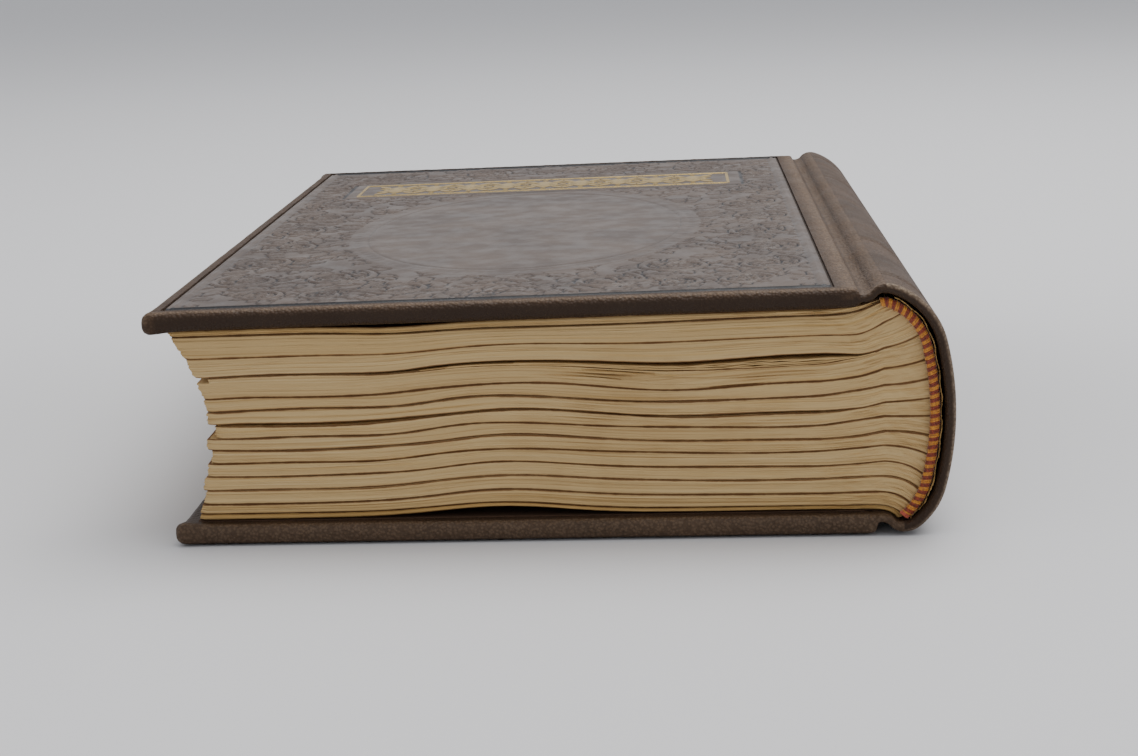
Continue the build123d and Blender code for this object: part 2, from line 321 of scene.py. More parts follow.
class Graph:
    """A material's node tree, with short calls to add and link nodes."""

    def __init__(self, name: str) -> None:
        """Starts a material with a Principled shader."""
        self.material = bpy.data.materials.new(name)
        self.material.use_nodes = True
        self.tree = self.material.node_tree
        self.tree.nodes.clear()
        self.output = self.node("ShaderNodeOutputMaterial")
        self.shader = self.node("ShaderNodeBsdfPrincipled")
        self.link(self.shader.outputs[0], self.output.inputs[0])
        self.place = self.node("ShaderNodeTexCoord").outputs["Object"]

    def node(self, kind: str, **settings: object) -> bpy.types.Node:
        """Adds a node and sets its properties."""
        made = self.tree.nodes.new(kind)
        for name, value in settings.items():
            setattr(made, name, value)
        return made

    def link(self, source: Socket, target: Socket) -> None:
        """Joins two sockets."""
        self.tree.links.new(source, target)

    def feed(self, target: Socket, value: object) -> None:
        """Links a socket to target, or sets target to a plain value."""
        if isinstance(value, Socket):
            self.link(value, target)
        else:
            target.default_value = value

    def shade(self, name: str, value: object) -> None:
        """Feeds one of the shader's inputs."""
        self.feed(self.shader.inputs[name], value)

    def noise(
        self,
        scale: float,
        detail: float = 3.0,
        roughness: float = 0.55,
        place: Optional[Socket] = None,
    ) -> Socket:
        """Cloudy noise from 0 to 1."""
        made = self.node("ShaderNodeTexNoise")
        made.inputs["Scale"].default_value = scale
        made.inputs["Detail"].default_value = detail
        made.inputs["Roughness"].default_value = roughness
        self.link(place or self.place, made.inputs["Vector"])
        return made.outputs["Fac"]

    def cells(self, scale: float, smooth: float = 0.5, place: Optional[Socket] = None) -> Socket:
        """Rounded cells, 0 in the middle of each."""
        made = self.node("ShaderNodeTexVoronoi", feature="SMOOTH_F1")
        made.inputs["Scale"].default_value = scale
        made.inputs["Smoothness"].default_value = smooth
        self.link(place or self.place, made.inputs["Vector"])
        return made.outputs["Distance"]

    def attribute(self, name: str) -> Socket:
        """A number kept on the mesh."""
        return self.node("ShaderNodeAttribute", attribute_name=name).outputs["Fac"]

    def math(self, operation: str, a: object, b: object = 0.0) -> Socket:
        """One sum."""
        made = self.node("ShaderNodeMath", operation=operation)
        self.feed(made.inputs[0], a)
        self.feed(made.inputs[1], b)
        return made.outputs[0]

    def spread(
        self, value: Socket, low: float, high: float, to_low: float = 0.0, to_high: float = 1.0
    ) -> Socket:
        """Takes low to high onto to_low to to_high, and stops at both ends."""
        made = self.node("ShaderNodeMapRange", interpolation_type="SMOOTHSTEP")
        self.feed(made.inputs["Value"], value)
        ends = {"From Min": low, "From Max": high, "To Min": to_low, "To Max": to_high}
        for name, number in ends.items():
            made.inputs[name].default_value = number
        return made.outputs["Result"]

    def mix(self, share: object, a: object, b: object, blend: str = "MIX") -> Socket:
        """Mixes two colours."""
        made = self.node("ShaderNodeMix", data_type="RGBA", blend_type=blend)
        self.feed(made.inputs[0], share)
        self.feed(made.inputs[6], a)
        self.feed(made.inputs[7], b)
        return made.outputs[2]

    def bump(
        self, height: Socket, strength: float, distance: float, under: Optional[Socket] = None
    ) -> Socket:
        """Bends the normal by height, on top of another bump if there is one."""
        made = self.node("ShaderNodeBump")
        made.inputs["Strength"].default_value = strength
        made.inputs["Distance"].default_value = distance
        self.link(height, made.inputs["Height"])
        if under is not None:
            self.link(under, made.inputs["Normal"])
        return made.outputs["Normal"]


@dataclass(frozen=True)
class LeatherFinish:
    """Grained leather: pebbles, mottled dye, and wear where the mesh says so, with painted
    highlight and painted shade carried by the same wear marks.
    """

    name: str
    dye: Colour = (0.076, 0.043, 0.0235, 1)
    deep: Colour = (0.028, 0.0150, 0.0080, 1)
    # Rubbed leather, also used as the painted highlight along the top of the rims.
    worn: Colour = (0.152, 0.101, 0.064, 1)
    grain: float = 1450.0
    grain_depth: float = 0.00030
    roughness: float = 0.54

    def build(self) -> Material:
        """Makes the material."""
        g = Graph(self.name)
        pebble = g.cells(self.grain, 0.3)
        wear = g.attribute("wear")
        dye = g.mix(g.spread(g.noise(38, 5, 0.6), 0.32, 0.68, 0.35, 1.0), self.deep, self.dye)
        dye = g.mix(g.spread(g.noise(210, 4, 0.6), 0.42, 0.66, 0.0, 0.22), dye, self.deep)
        crease = g.spread(pebble, 0.30, 0.62)
        dye = g.mix(g.math("MULTIPLY", crease, 0.45), dye, self.deep)
        # Wear below 0 is painted shade: the colour turns to deep.
        dye = g.mix(g.spread(wear, -1.0, 0.0, 0.85, 0.0), dye, self.deep)
        patch = g.spread(g.noise(800, 5, 0.7), 0.34, 0.60, 0.55, 1.0)
        # Wear above 0 is rubbed leather in the worn colour, and along the top of the rims also a
        # painted highlight.
        worn = g.math("MULTIPLY", g.spread(wear, 0.0, 1.0), patch)
        worn = g.math("MULTIPLY", worn, g.math("SUBTRACT", 1.0, g.math("MULTIPLY", crease, 0.5)))
        g.shade("Base Color", g.mix(worn, dye, self.worn))
        rough = g.spread(g.noise(90, 4), 0.3, 0.7, self.roughness - 0.05, self.roughness + 0.06)
        g.shade("Roughness", rough)
        g.shade("Specular IOR Level", 0.22)
        normal = g.bump(g.math("SUBTRACT", 1.0, pebble), 0.85, self.grain_depth)
        normal = g.bump(g.noise(3200, 2), 0.35, 0.00006, normal)
        normal = g.bump(g.noise(260, 4), 0.12, 0.0002, normal)
        g.shade("Normal", normal)
        return g.material


@dataclass(frozen=True)
class PanelFinish:
    """Leather pressed by a hot die: smoother, with shade painted dark into the low parts."""

    name: str
    high: Colour = (0.107, 0.081, 0.067, 1)
    # The painted shade in the low parts.
    low: Colour = (0.020, 0.0205, 0.0235, 1)
    roughness: float = 0.38

    def build(self) -> Material:
        """Makes the material."""
        g = Graph(self.name)
        relief = g.attribute("relief")
        mottle = g.spread(g.noise(60, 5, 0.6), 0.3, 0.7)
        red, green, blue, _ = self.high
        top = g.mix(mottle, (red * 0.72, green * 0.74, blue * 0.78, 1), self.high)
        # Painted shade: the low parts of the relief, and the slot round the panel, take the dark
        # low colour.
        ground = g.spread(relief, -0.10, 0.58)
        g.shade("Base Color", g.mix(ground, self.low, top))
        rough = g.spread(g.noise(140, 4), 0.3, 0.7, self.roughness - 0.08, self.roughness + 0.12)
        g.shade("Roughness", rough)
        g.shade("Specular IOR Level", 0.25)
        normal = g.bump(g.cells(1300, 0.4), 0.22, 0.00012)
        normal = g.bump(g.noise(3000, 2), 0.25, 0.00005, normal)
        g.shade("Normal", normal)
        return g.material


@dataclass(frozen=True)
class PageFinish:
    """Cut edges of aged paper: fine streaks along the leaves, and shade painted brown at each
    section's outside, where the sections meet.
    """

    name: str
    paper: Colour = (0.600, 0.425, 0.205, 1)
    shade: Colour = (0.350, 0.210, 0.080, 1)
    light: Colour = (0.700, 0.540, 0.300, 1)
    foxed: Colour = (0.500, 0.285, 0.070, 1)
    painted_section_shade: Colour = (0.150, 0.066, 0.024, 1)
    streaks: float = 3.0

    def build(self) -> Material:
        """Makes the material."""
        g = Graph(self.name)
        fine = self.streak(g, 14.0, self.streaks)
        broad = self.streak(g, 8.0, 0.9)
        slow = g.spread(self.streak(g, 2.0, 0.28), 0.36, 0.62, 0.22, 0.0)
        paper = g.mix(slow, self.paper, self.shade)
        paper = g.mix(g.spread(g.noise(30, 5, 0.6), 0.50, 0.74, 0.0, 0.30), paper, self.shade)
        paper = g.mix(g.spread(fine, 0.36, 0.46, 0.62, 0.0), paper, self.shade)
        paper = g.mix(g.spread(fine, 0.56, 0.66, 0.0, 0.40), paper, self.light)
        paper = g.mix(g.spread(broad, 0.30, 0.46, 0.32, 0.0), paper, self.foxed)
        paper = g.mix(g.attribute("warm"), paper, self.foxed)
        # Painted shade at each section's outside, between the sections.
        rim = g.attribute("rim")
        uneven = g.spread(g.noise(150, 5, 0.65), 0.25, 0.75, -0.10, 0.12)
        rim = g.math("ADD", rim, uneven)
        painted_section_shade = g.spread(rim, 0.10, 0.40, 0.94, 0.0)
        g.shade("Base Color", g.mix(painted_section_shade, paper, self.painted_section_shade))
        g.shade("Roughness", 0.86)
        g.shade("Specular IOR Level", 0.25)
        normal = g.bump(fine, 0.7, 0.0003)
        g.shade("Normal", g.bump(g.noise(1900, 3), 0.25, 0.00006, normal))
        return g.material

    @staticmethod
    def streak(g: Graph, length: float, through: float) -> Socket:
        """Noise drawn out along the leaves.

        Args:
            g: The material's graph.
            length: Cycles a metre along the leaves.
            through: Cycles a millimetre across them.

        Returns:
            The noise.
        """
        parts = g.node("ShaderNodeSeparateXYZ")
        g.link(g.place, parts.inputs[0])
        drawn = g.node("ShaderNodeCombineXYZ")
        g.feed(drawn.inputs[0], g.math("MULTIPLY", parts.outputs[0], length))
        g.feed(drawn.inputs[1], g.math("MULTIPLY", parts.outputs[1], length))
        g.feed(drawn.inputs[2], g.math("MULTIPLY", g.attribute("leaf"), through))
        return g.noise(1.0, 3, 0.65, drawn.outputs[0])


@dataclass(frozen=True)
class PaperFinish:
    """Flat aged paper, card or board, with fibres and foxing."""

    name: str
    base: Colour
    spots: Colour
    fibre: float = 900.0
    roughness: float = 0.88

    def build(self) -> Material:
        """Makes the material."""
        g = Graph(self.name)
        cloud = g.spread(g.noise(18, 6, 0.62), 0.35, 0.70)
        base = g.mix(cloud, self.base, tuple(c * 0.82 for c in self.base[:3]) + (1,))
        foxed = g.spread(g.noise(120, 3, 0.5), 0.66, 0.76, 0.0, 0.7)
        g.shade("Base Color", g.mix(foxed, base, self.spots))
        g.shade("Roughness", self.roughness)
        g.shade("Specular IOR Level", 0.25)
        g.shade("Normal", g.bump(g.noise(self.fibre, 4, 0.6), 0.4, 0.0001))
        return g.material


@dataclass(frozen=True)
class ClothFinish:
    """Plain-woven cloth: threads both ways."""

    name: str
    base: Colour
    shade: Colour
    thread: float = 0.5

    def build(self) -> Material:
        """Makes the material."""
        g = Graph(self.name)
        waves = []
        for direction in ("X", "Y", "Z"):
            wave = g.node("ShaderNodeTexWave", bands_direction=direction)
            wave.inputs["Scale"].default_value = 314.0 / self.thread / 2
            wave.inputs["Distortion"].default_value = 0.6
            g.link(g.place, wave.inputs["Vector"])
            waves.append(wave.outputs["Fac"])
        weave = g.math("MULTIPLY", g.math("MAXIMUM", waves[0], waves[2]), waves[1])
        g.shade("Base Color", g.mix(g.spread(weave, 0.1, 0.7), self.shade, self.base))
        g.shade("Roughness", 0.9)
        g.shade("Normal", g.bump(weave, 0.6, 0.00015))
        return g.material


@dataclass(frozen=True)
class SilkFinish:
    """Twisted thread with a low sheen."""

    name: str
    base: Colour
    shade: Colour

    def build(self) -> Material:
        """Makes the material."""
        g = Graph(self.name)
        fray = g.noise(1500, 4, 0.6)
        g.shade("Base Color", g.mix(g.spread(fray, 0.3, 0.68), self.shade, self.base))
        g.shade("Roughness", 0.55)
        g.shade("Sheen Weight", 0.3)
        g.shade("Normal", g.bump(g.noise(4200, 3), 0.6, 0.00012))
        return g.material


@dataclass(frozen=True)
class GiltFinish:
    """Gold leaf pressed into leather, rubbed thin in places."""

    name: str
    gold: Colour = (0.51, 0.36, 0.12, 1)
    rubbed: Colour = (0.16, 0.115, 0.07, 1)

    def build(self) -> Material:
        """Makes the material."""
        g = Graph(self.name)
        wear = g.spread(g.noise(420, 6, 0.7), 0.50, 0.70)
        g.shade("Base Color", g.mix(wear, self.gold, self.rubbed))
        g.shade("Metallic", g.math("SUBTRACT", 0.9, g.math("MULTIPLY", wear, 0.8)))
        g.shade("Roughness", g.spread(wear, 0.0, 1.0, 0.36, 0.6))
        g.shade("Normal", g.bump(g.noise(1600, 3), 0.25, 0.00006))
        return g.material


@dataclass(frozen=True)
class TableFinishWithPaintedShadow:
    """The pale surface under the book, with a soft shadow painted round the book."""

    name: str
    base: Colour = (0.66, 0.66, 0.675, 1)
    # How dark the painted shadow is at its middle, and how far it reaches across and along.
    shade: float = 0.16
    reach: Pair = (0.24, 0.12)

    def build(self) -> Material:
        """Makes the material."""
        g = Graph(self.name)
        parts = g.node("ShaderNodeSeparateXYZ")
        g.link(g.place, parts.inputs[0])
        aside, ahead = (
            g.math("POWER", g.math("DIVIDE", g.math("ABSOLUTE", part), reach), 2.0)
            for part, reach in zip(parts.outputs, self.reach)
        )
        # Painted shadow: darker near the book, fading out over reach.
        near = g.math("EXPONENT", g.math("MULTIPLY", g.math("ADD", aside, ahead), -1.0))
        colour = g.mix(g.math("MULTIPLY", near, self.shade), self.base, (0.0, 0.0, 0.0, 1))
        g.shade("Base Color", colour)
        g.shade("Roughness", 0.7)
        g.shade("Specular IOR Level", 0.2)
        return g.material


class Finishes:
    """Every finish on the book, made once."""

    def __init__(self) -> None:
        """Builds the materials."""
        self.hide = LeatherFinish("cover_leather").build()
        # The spine's worn colour is light enough to paint the highlight on its rim as well as the
        # wear.
        spine_dye, spine_worn_and_highlight = (0.100, 0.062, 0.039, 1), (0.240, 0.180, 0.125, 1)
        self.spine = LeatherFinish("spine_leather", dye=spine_dye, worn=spine_worn_and_highlight).build()
        self.panel = PanelFinish("pressed_leather_painted_shade").build()
        self.gilt = GiltFinish("gold_leaf").build()
        self.pages = PageFinish("page_edges").build()
        # A dark brown endpaper, chosen dark to paint the shade in the gaps under the boards.
        self.endpaper = PaperFinish(
            "endpaper", (0.088, 0.048, 0.028, 1), (0.040, 0.020, 0.010, 1)
        ).build()
        self.torn_paper = PaperFinish(
            "torn_paper", (0.46, 0.29, 0.11, 1), (0.20, 0.10, 0.03, 1)
        ).build()
        self.board = PaperFinish(
            "millboard", (0.38, 0.30, 0.20, 1), (0.22, 0.16, 0.10, 1), 500
        ).build()
        self.card = PaperFinish(
            "stiffener_card", (0.30, 0.24, 0.16, 1), (0.18, 0.13, 0.08, 1), 600
        ).build()
        self.brown_paper = PaperFinish(
            "lining_paper", (0.30, 0.19, 0.09, 1), (0.16, 0.10, 0.05, 1), 700
        ).build()
        self.mull = ClothFinish(
            "mull_cloth", (0.60, 0.53, 0.38, 1), (0.30, 0.24, 0.15, 1), 0.9
        ).build()
        self.linen = ClothFinish(
            "tape_linen", (0.62, 0.55, 0.42, 1), (0.36, 0.30, 0.20, 1), 0.45
        ).build()
        silks = {
            "gold": ((0.64, 0.26, 0.014, 1), (0.36, 0.12, 0.008, 1)),
            "red": ((0.29, 0.034, 0.004, 1), (0.12, 0.015, 0.003, 1)),
            "pink": ((0.60, 0.11, 0.055, 1), (0.36, 0.06, 0.03, 1)),
        }
        self.silks = {
            colour: SilkFinish(f"{colour}_thread", base, shade).build()
            for colour, (base, shade) in silks.items()
        }
        # The table, with a painted soft shadow round the book.
        self.table = TableFinishWithPaintedShadow("table").build()


def dress(piece: Piece, finish: Material) -> None:
    """Gives piece one finish all over."""
    piece.data.materials.clear()
    piece.data.materials.append(finish)


def complete(piece: Piece, angle: float, finish: Material) -> None:
    """Turns a closed piece outwards, shades it smooth up to angle, and dresses it."""
    Bench.outward(piece)
    Bench.soften(piece, angle)
    dress(piece, finish)


def make_sheet(piece: Piece, thickness: float, angle: float, finish: Material) -> None:
    """Makes a skin into a closed sheet.

    Args:
        piece: The skin.
        thickness: The sheet's thickness, in millimetres, half of it on each side.
        angle: Edges sharper than this stay sharp, in degrees.
        finish: What it is dressed in.
    """
    Bench.outward(piece)
    Bench.thicken(piece, thickness * MM, 0.0)
    Bench.soften(piece, angle)
    dress(piece, finish)


def settle(piece: Piece, body: Body) -> Piece:
    """Puts a finished piece on its body, and logs it."""
    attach(piece, body.value)
    report(piece)
    return piece


# ---------------------------------------------------------------------------
# Lines that the shapes follow, in millimetres
# ---------------------------------------------------------------------------


@dataclass(frozen=True)
class Arc:
    """One arc of the back. Heading 0 points up and 90 away from the pages."""

    x: float
    z: float
    radius: float
    start: float
    stop: float

    @property
    def length(self) -> float:
        """Length along the arc."""
        return self.radius * math.radians(self.stop - self.start)

    def at(self, heading: float, outwards: float = 0.0) -> Pair:
        """The point at a heading, moved outwards by a distance."""
        turn = math.radians(heading)
        reach = self.radius + outwards
        return self.x + reach * math.sin(turn), self.z + reach * math.cos(turn)

    def spin(self, steps: int, angle: float) -> None:
        """Turns the selected outline round the arc's centre by an angle, in degrees."""
        centre = (self.x * MM, 0, self.z * MM)
        bpy.ops.mesh.spin(steps=steps, angle=-math.radians(angle), center=centre, axis=(0, 1, 0))


@dataclass(frozen=True)
class BackLine:
    """The round of the back: arcs that run into each other."""

    arcs: tuple[Arc, ...]

    @property
    def length(self) -> float:
        """Length from the upper crest to the lower one."""
        return sum(arc.length for arc in self.arcs)

    def at(self, distance: float, outwards: float = 0.0) -> Triple:
        """Finds a place along the back.

        Args:
            distance: Length from the upper end. Below 0 the line runs straight on.
            outwards: How far off the line, away from the pages.

        Returns:
            X, Z and the heading there, in degrees.
        """
        if distance < 0:
            first = self.arcs[0]
            x, z = first.at(first.start, outwards)
            turn = math.radians(first.start)
            return x + distance * math.cos(turn), z - distance * math.sin(turn), first.start
        left = min(distance, self.length - 1e-9)
        for arc in self.arcs:
            if left <= arc.length:
                heading = arc.start + math.degrees(left / arc.radius)
                return (*arc.at(heading, outwards), heading)
            left -= arc.length
        last = self.arcs[-1]
        return (*last.at(last.stop, outwards), last.stop)

    def distance(self, heading: float) -> float:
        """Length from the upper end to a heading."""
        total = 0.0
        for arc in self.arcs:
            if heading <= arc.stop:
                return total + arc.radius * math.radians(max(heading - arc.start, 0.0))
            total += arc.length
        return total


LEATHER_BACK = BackLine(
    (
        Arc(75.61, 52.1, 6.0, 0, 20),
        Arc(71.335, 40.354, 18.5, 20, 76),
        Arc(21.071, 27.822, 70.303, 76, 104),
        Arc(72.791, 14.926, 17.0, 104, 140),
        Arc(79.861, 6.5, 6.0, 140, 180),
    )
)
PAGES_BACK = BackLine(
    (
        Arc(75.61, 52.1, 2.0, 0, 20),
        Arc(71.335, 40.354, 14.5, 20, 76),
        Arc(20.434, 27.663, 66.96, 76, 104),
        Arc(70.85, 15.093, 15.0, 104, 140),
        Arc(78.563, 5.9, 3.0, 140, 180),
    )
)
BOOK_HALF_HEIGHT = 125.0
PAGES_HALF_HEIGHT = 121.5
LEATHER = 0.8
BOARD = 3.0
COVER = BOARD + 2 * LEATHER
TILT = 0.8
JOINT_RISE = 1.75  # how far the outer leaves climb towards the back
JOINT_CURVE = 1.7  # how late they climb
ROUNDNESS = 2.3  # power of the cover edges' cross-section: 2 is a circle
COCKLED_X = 27.0  # middle of the part of the pages that has cockled


# ---------------------------------------------------------------------------
# Pages
# ---------------------------------------------------------------------------


@dataclass(frozen=True)
class Section:
    """One sewn section, with its thickness at four places from the fore edge to the back.

    The gap is the air below it, at the first three of those places, and arch adds one bell of air.
    step moves its fore edge towards the spine. warm, torn and slits say how brown, torn and open
    it is.
    """

    name: str
    fore: float
    middle: float
    spine: float
    back: float
    gap: Triple = (0.07, 0.05, 0.05)
    step: float = 0.0
    leaves: int = 13
    warm: float = 0.0
    torn: float = 0.0
    slits: float = 0.0
    arch: Triple = (0.0, 0.0, 20.0)


SECTIONS: tuple[Section, ...] = (
    Section(
        "lower_flyleaves", 1.6, 1.1, 1.15, 1.7, (0.0, 0.12, 0.1), 0.2, 7, 0.55,
        arch=(2.1, -12.0, 20.0),
    ),
    Section("section_12", 2.4, 3.3, 3.0, 3.0, (0.10, 0.10, 0.05), 0.0, 13, 0.12),
    Section("section_11", 3.4, 3.5, 3.4, 3.9, step=0.35, warm=0.05),
    Section("section_10", 3.4, 3.3, 3.2, 3.6, step=-0.3, warm=0.03),
    Section("section_9", 3.4, 3.3, 3.6, 5.2, step=0.1),
    Section("section_8", 3.2, 3.1, 2.95, 4.6, step=0.7),
    Section("section_7", 3.1, 3.1, 3.35, 5.0, step=-0.1),
    Section("section_6", 2.9, 3.0, 3.0, 4.4, step=1.6, slits=0.5),
    Section("section_5", 3.4, 3.3, 3.8, 4.7, (0.75, 0.28, 0.45), step=0.2, slits=0.35),
    Section("section_4", 3.1, 3.3, 3.4, 4.7, step=0.15),
    Section("section_3", 5.4, 4.7, 4.3, 6.1, step=0.0, leaves=16, torn=0.22, slits=1.0),
    Section("section_2", 4.7, 4.2, 4.5, 6.6, (0.12, 1.15, 2.2), step=0.2, leaves=16),
    Section("section_1", 5.5, 4.1, 4.7, 4.9, step=-0.3, leaves=16, warm=0.10),
    Section("upper_flyleaves", 1.5, 1.9, 1.5, 0.7, (0.1, 0.1, 0.1), 0.15, 7, 0.36),
)


@dataclass
class PageStack:
    """The sewn sections, each a solid of its own, fanned out round the back."""

    finish: Material
    endpaper: Material
    along_faces: int = 78
    back_faces: int = 22
    rows: int = 46
    stations: Triple = (-57.0, 2.0, 56.0)
    fore_top: Pair = (-87.4, 50.02)
    fore_middle: Pair = (-79.24, 27.95)
    fore_bottom: Pair = (-83.44, 5.0)
    floor: float = 5.0
    block_top: Pair = (69.265, 52.197)
    rise_end: float = 75.6
    back_reach: float = 15.0
    torn_depth: float = 14.0
    torn_shift: float = 5.6
    cockle: float = 0.24
    outer_step: float = 0.24
    end_reach: float = 1.6
    line_length: float = 168.0
    corner_reach: float = 2.2
    streak_shift: float = 3.7
    seed: int = 7

    def top(self, x: Points) -> Points:
        """Height of the top leaf, which leans with the upper cover."""
        lean = math.tan(math.radians(TILT))
        flat = self.block_top[1] + (np.minimum(x, self.block_top[0]) - self.block_top[0]) * lean
        rise = np.clip((x - self.block_top[0]) / (self.rise_end - self.block_top[0]), 0, 1)
        return flat + JOINT_RISE * rise**JOINT_CURVE - self.press(x)

    @staticmethod
    def press(x: Points) -> Points:
        """Air under the upper cover, where the first leaves have sunk."""
        return 0.75 * bell(x, -36, 13) + 0.05

    def between(self, x: Points, values: Sequence[float]) -> Points:
        """Runs evenly through three values at the three stations."""
        a, b, c = self.stations
        t = np.where(x < b, smoothstep((x - a) / (b - a)), smoothstep((x - b) / (c - b)))
        low = np.where(x < b, values[0], values[1])
        high = np.where(x < b, values[1], values[2])
        return low + (high - low) * t

    def heights(self, x: Points) -> list[tuple[Points, Points]]:
        """Bottom and top height of each section at these places along the tail, before the back."""
        level = np.full_like(x, self.floor)
        found = []
        for section in SECTIONS:
            level = level + self.gap(section, x)
            thick = self.between(x, (section.fore, section.middle, section.spine))
            found.append((level, level + thick))
            level = level + thick
        air = sum(self.gap(section, x) for section in SECTIONS)
        share = (self.top(x) - self.floor - air) / (level - self.floor - air)
        level, made = np.full_like(x, self.floor), []
        for section, (low, high) in zip(SECTIONS, found):
            level = level + self.gap(section, x)
            top = level + (high - low) * share
            made.append((level, top))
            level = top
        return made

    @staticmethod
    def sag(x: Points, level: Points) -> Points:
        """The slow wave of the middle sections: a hump before the middle and a dip behind it."""
        dip = -1.35 * bell(x, COCKLED_X, 19) * bell(level, 37, 8.5)
        hump = 0.75 * bell(x, -14, 24) * bell(level, 31, 11)
        ripple = 0.16 * np.sin(x * 0.14 + level * 0.9) * bell(level, 28, 15)
        return (dip + hump + ripple) * smoothstep((level - 5.5) / 3) * smoothstep((52 - level) / 5)

    def gap(self, section: Section, x: Points) -> Points:
        """Air below a section, closing towards the back and the fore edge."""
        shape = self.between(x, section.gap)
        peak, middle, width = section.arch
        shape = shape + peak * bell(x, middle, width)
        return shape * (1 - smoothstep((x - 60) / 14)) * (0.25 + 0.75 * smoothstep((x + 82) / 14))

    def fore_edge(self, z: Points) -> Points:
        """The hollow of the fore edge: one arc through three points."""
        (x1, z1), (x2, z2), (x3, z3) = self.fore_top, self.fore_middle, self.fore_bottom
        a = (z - z2) / (z1 - z2)
        b = (z2 - z) / (z2 - z3)
        return np.where(z > z2, x2 + (x1 - x2) * np.abs(a) ** 1.6, x2 + (x3 - x2) * b**2)

    def lines(self, steps: Points) -> list[SectionLine]:
        """The bottom and top line of each section, from its fore edge (0) to the back (1).

        Args:
            steps: Shares along the line.

        Returns:
            For each section, the X and Z of its bottom line and of its top line.
        """
        total = sum(section.back for section in SECTIONS)
        scale = PAGES_BACK.length / total
        climbed, made = PAGES_BACK.length, []
        for number, section in enumerate(SECTIONS):
            ends = []
            for edge in (0, 1):
                x_back, z_back, _ = PAGES_BACK.at(climbed)
                if edge == 0:
                    climbed -= section.back * scale
                start_z = self.heights(np.array([-80.0]))[number][edge][0]
                x_fore = float(self.fore_edge(np.array(start_z))) + section.step
                x = x_fore + (x_back - x_fore) * steps
                flat = self.heights(x)[number][edge]
                flat = flat + self.sag(x, flat)
                turn = np.clip((x - (x_back - self.back_reach)) / self.back_reach, 0, 1)
                bend = 2.5 + 6.5 * 0.62 ** (number + edge)
                ends.append((x, flat + (z_back - flat) * turn**bend))
            made.append((*ends[0], *ends[1]))
        return made

    def shape(self, blank: Piece, number: int, line: SectionLine, steps: Points) -> Piece:
        """Forms one section from the blank.

        Args:
            blank: The unit cube to copy.
            number: The section's place in the stack.
            line: Its bottom and top lines.
            steps: The shares that the lines were drawn at.

        Returns:
            The section, in metres.
        """
        section = SECTIONS[number]
        chance = random.Random(self.seed + number)
        piece = Bench.copy(blank, section.name)
        unit = Bench.points(piece)
        u, v, w = unit.T
        share = np.interp(u, np.linspace(0, 1, len(steps)), steps)
        x0, z0, x1, z1 = (np.interp(share, steps, values) for values in line)
        leaves = section.leaves
        row = np.rint(w * leaves).astype(int)
        x = x0 + (x1 - x0) * w
        z = z0 + (z1 - z0) * w
        thick = np.hypot(z1 - z0, x1 - x0)
        jog = self.draws(chance, -0.30, 0.22, leaves + 1)
        end_jog = {end: self.draws(chance, -0.13, 0.10, leaves + 1) for end in End}
        for table in (jog, *end_jog.values()):
            table[0] = table[-1] = self.outer_step
            table[1] += 0.05
        fore = 1 - smoothstep(share / 0.02)
        x = x + jog[row] * fore * (1 if section.leaves > 8 else 0.6)
        y_share = np.interp(v, np.linspace(0, 1, self.rows + 1), self.row_places())
        y = PAGES_HALF_HEIGHT * y_share
        lean = chance.uniform(-0.25, 0.25)
        for end in End:
            near_end = y * end.value - (PAGES_HALF_HEIGHT - self.end_reach)
            at_end = smoothstep(near_end / self.end_reach)
            drift = lean * end.value + 0.10 * np.sin(share * 9 + number * 1.7)
            crinkle = 0.05 + 0.14 * smoothstep((share - 0.72) / 0.26)
            phase = row * 2.4 + number * 1.1 + end.value
            wave = crinkle * (np.sin(x * 0.42 + phase) * 0.6 + np.sin(x * 1.13 + phase * 1.9) * 0.4)
            inward = end_jog[end][row] + 0.20 + drift + wave * np.sin(np.pi * w) ** 0.5
            y = y - end.value * at_end * inward
            y = y - end.value * at_end * section.slits * self.lens(x, row)
        corner = np.clip(1 - share * self.line_length / self.corner_reach, 0, 1)
        y = y - np.sign(y) * (np.abs(y_share) > 0.97) * corner**2 * 0.8
        if section.torn:
            near_tail = np.clip(1 - (y + PAGES_HALF_HEIGHT) / self.torn_depth, 0, 1)
            missing = (w > 1 - section.torn) * near_tail
            x = x + fore * missing * self.torn_shift
        z = z + self.cockle * section.slits * self.ripple(x, row) * np.sin(np.pi * w)
        swell = np.interp(y, *self.swell(chance))
        inside = np.clip(np.minimum(w, 1 - w) * 4, 0, 1) if section.gap[1] < 0.2 else 1.0
        z = z + swell * 0.10 * inside * (1 - smoothstep((share - 0.9) / 0.1))
        x = x + np.interp(y, *self.swell(chance)) * 0.28 * fore
        Bench.put(piece, np.column_stack([x, y, z]) * MM)
        Bench.mark(piece, "leaf", w * thick + number * self.streak_shift)
        # How near each point lies to its section's outside; the page finish paints shade there.
        border = np.minimum(w, 1 - w) * thick
        flat = (w < 1e-6) | (w > 1 - 1e-6)
        interior = flat & (u > 1e-6) & (u < 1 - 1e-6) & (v > 1e-6) & (v < 1 - 1e-6)
        Bench.mark(piece, "rim", np.where(interior, 1.0, border))
        fading = 0.7 * smoothstep((share - 0.2) / 0.5) * (number > 1)
        Bench.mark(piece, "warm", np.full(len(u), section.warm) * (1 - fading))
        complete(piece, 28, self.finish)
        self.face_endpaper(piece, number, w)
        return settle(piece, Body.BLOCK)

    @staticmethod
    def draws(chance: random.Random, low: float, high: float, count: int) -> Points:
        """Even draws from low to high, one after the other."""
        return np.array([chance.uniform(low, high) for _ in range(count)])

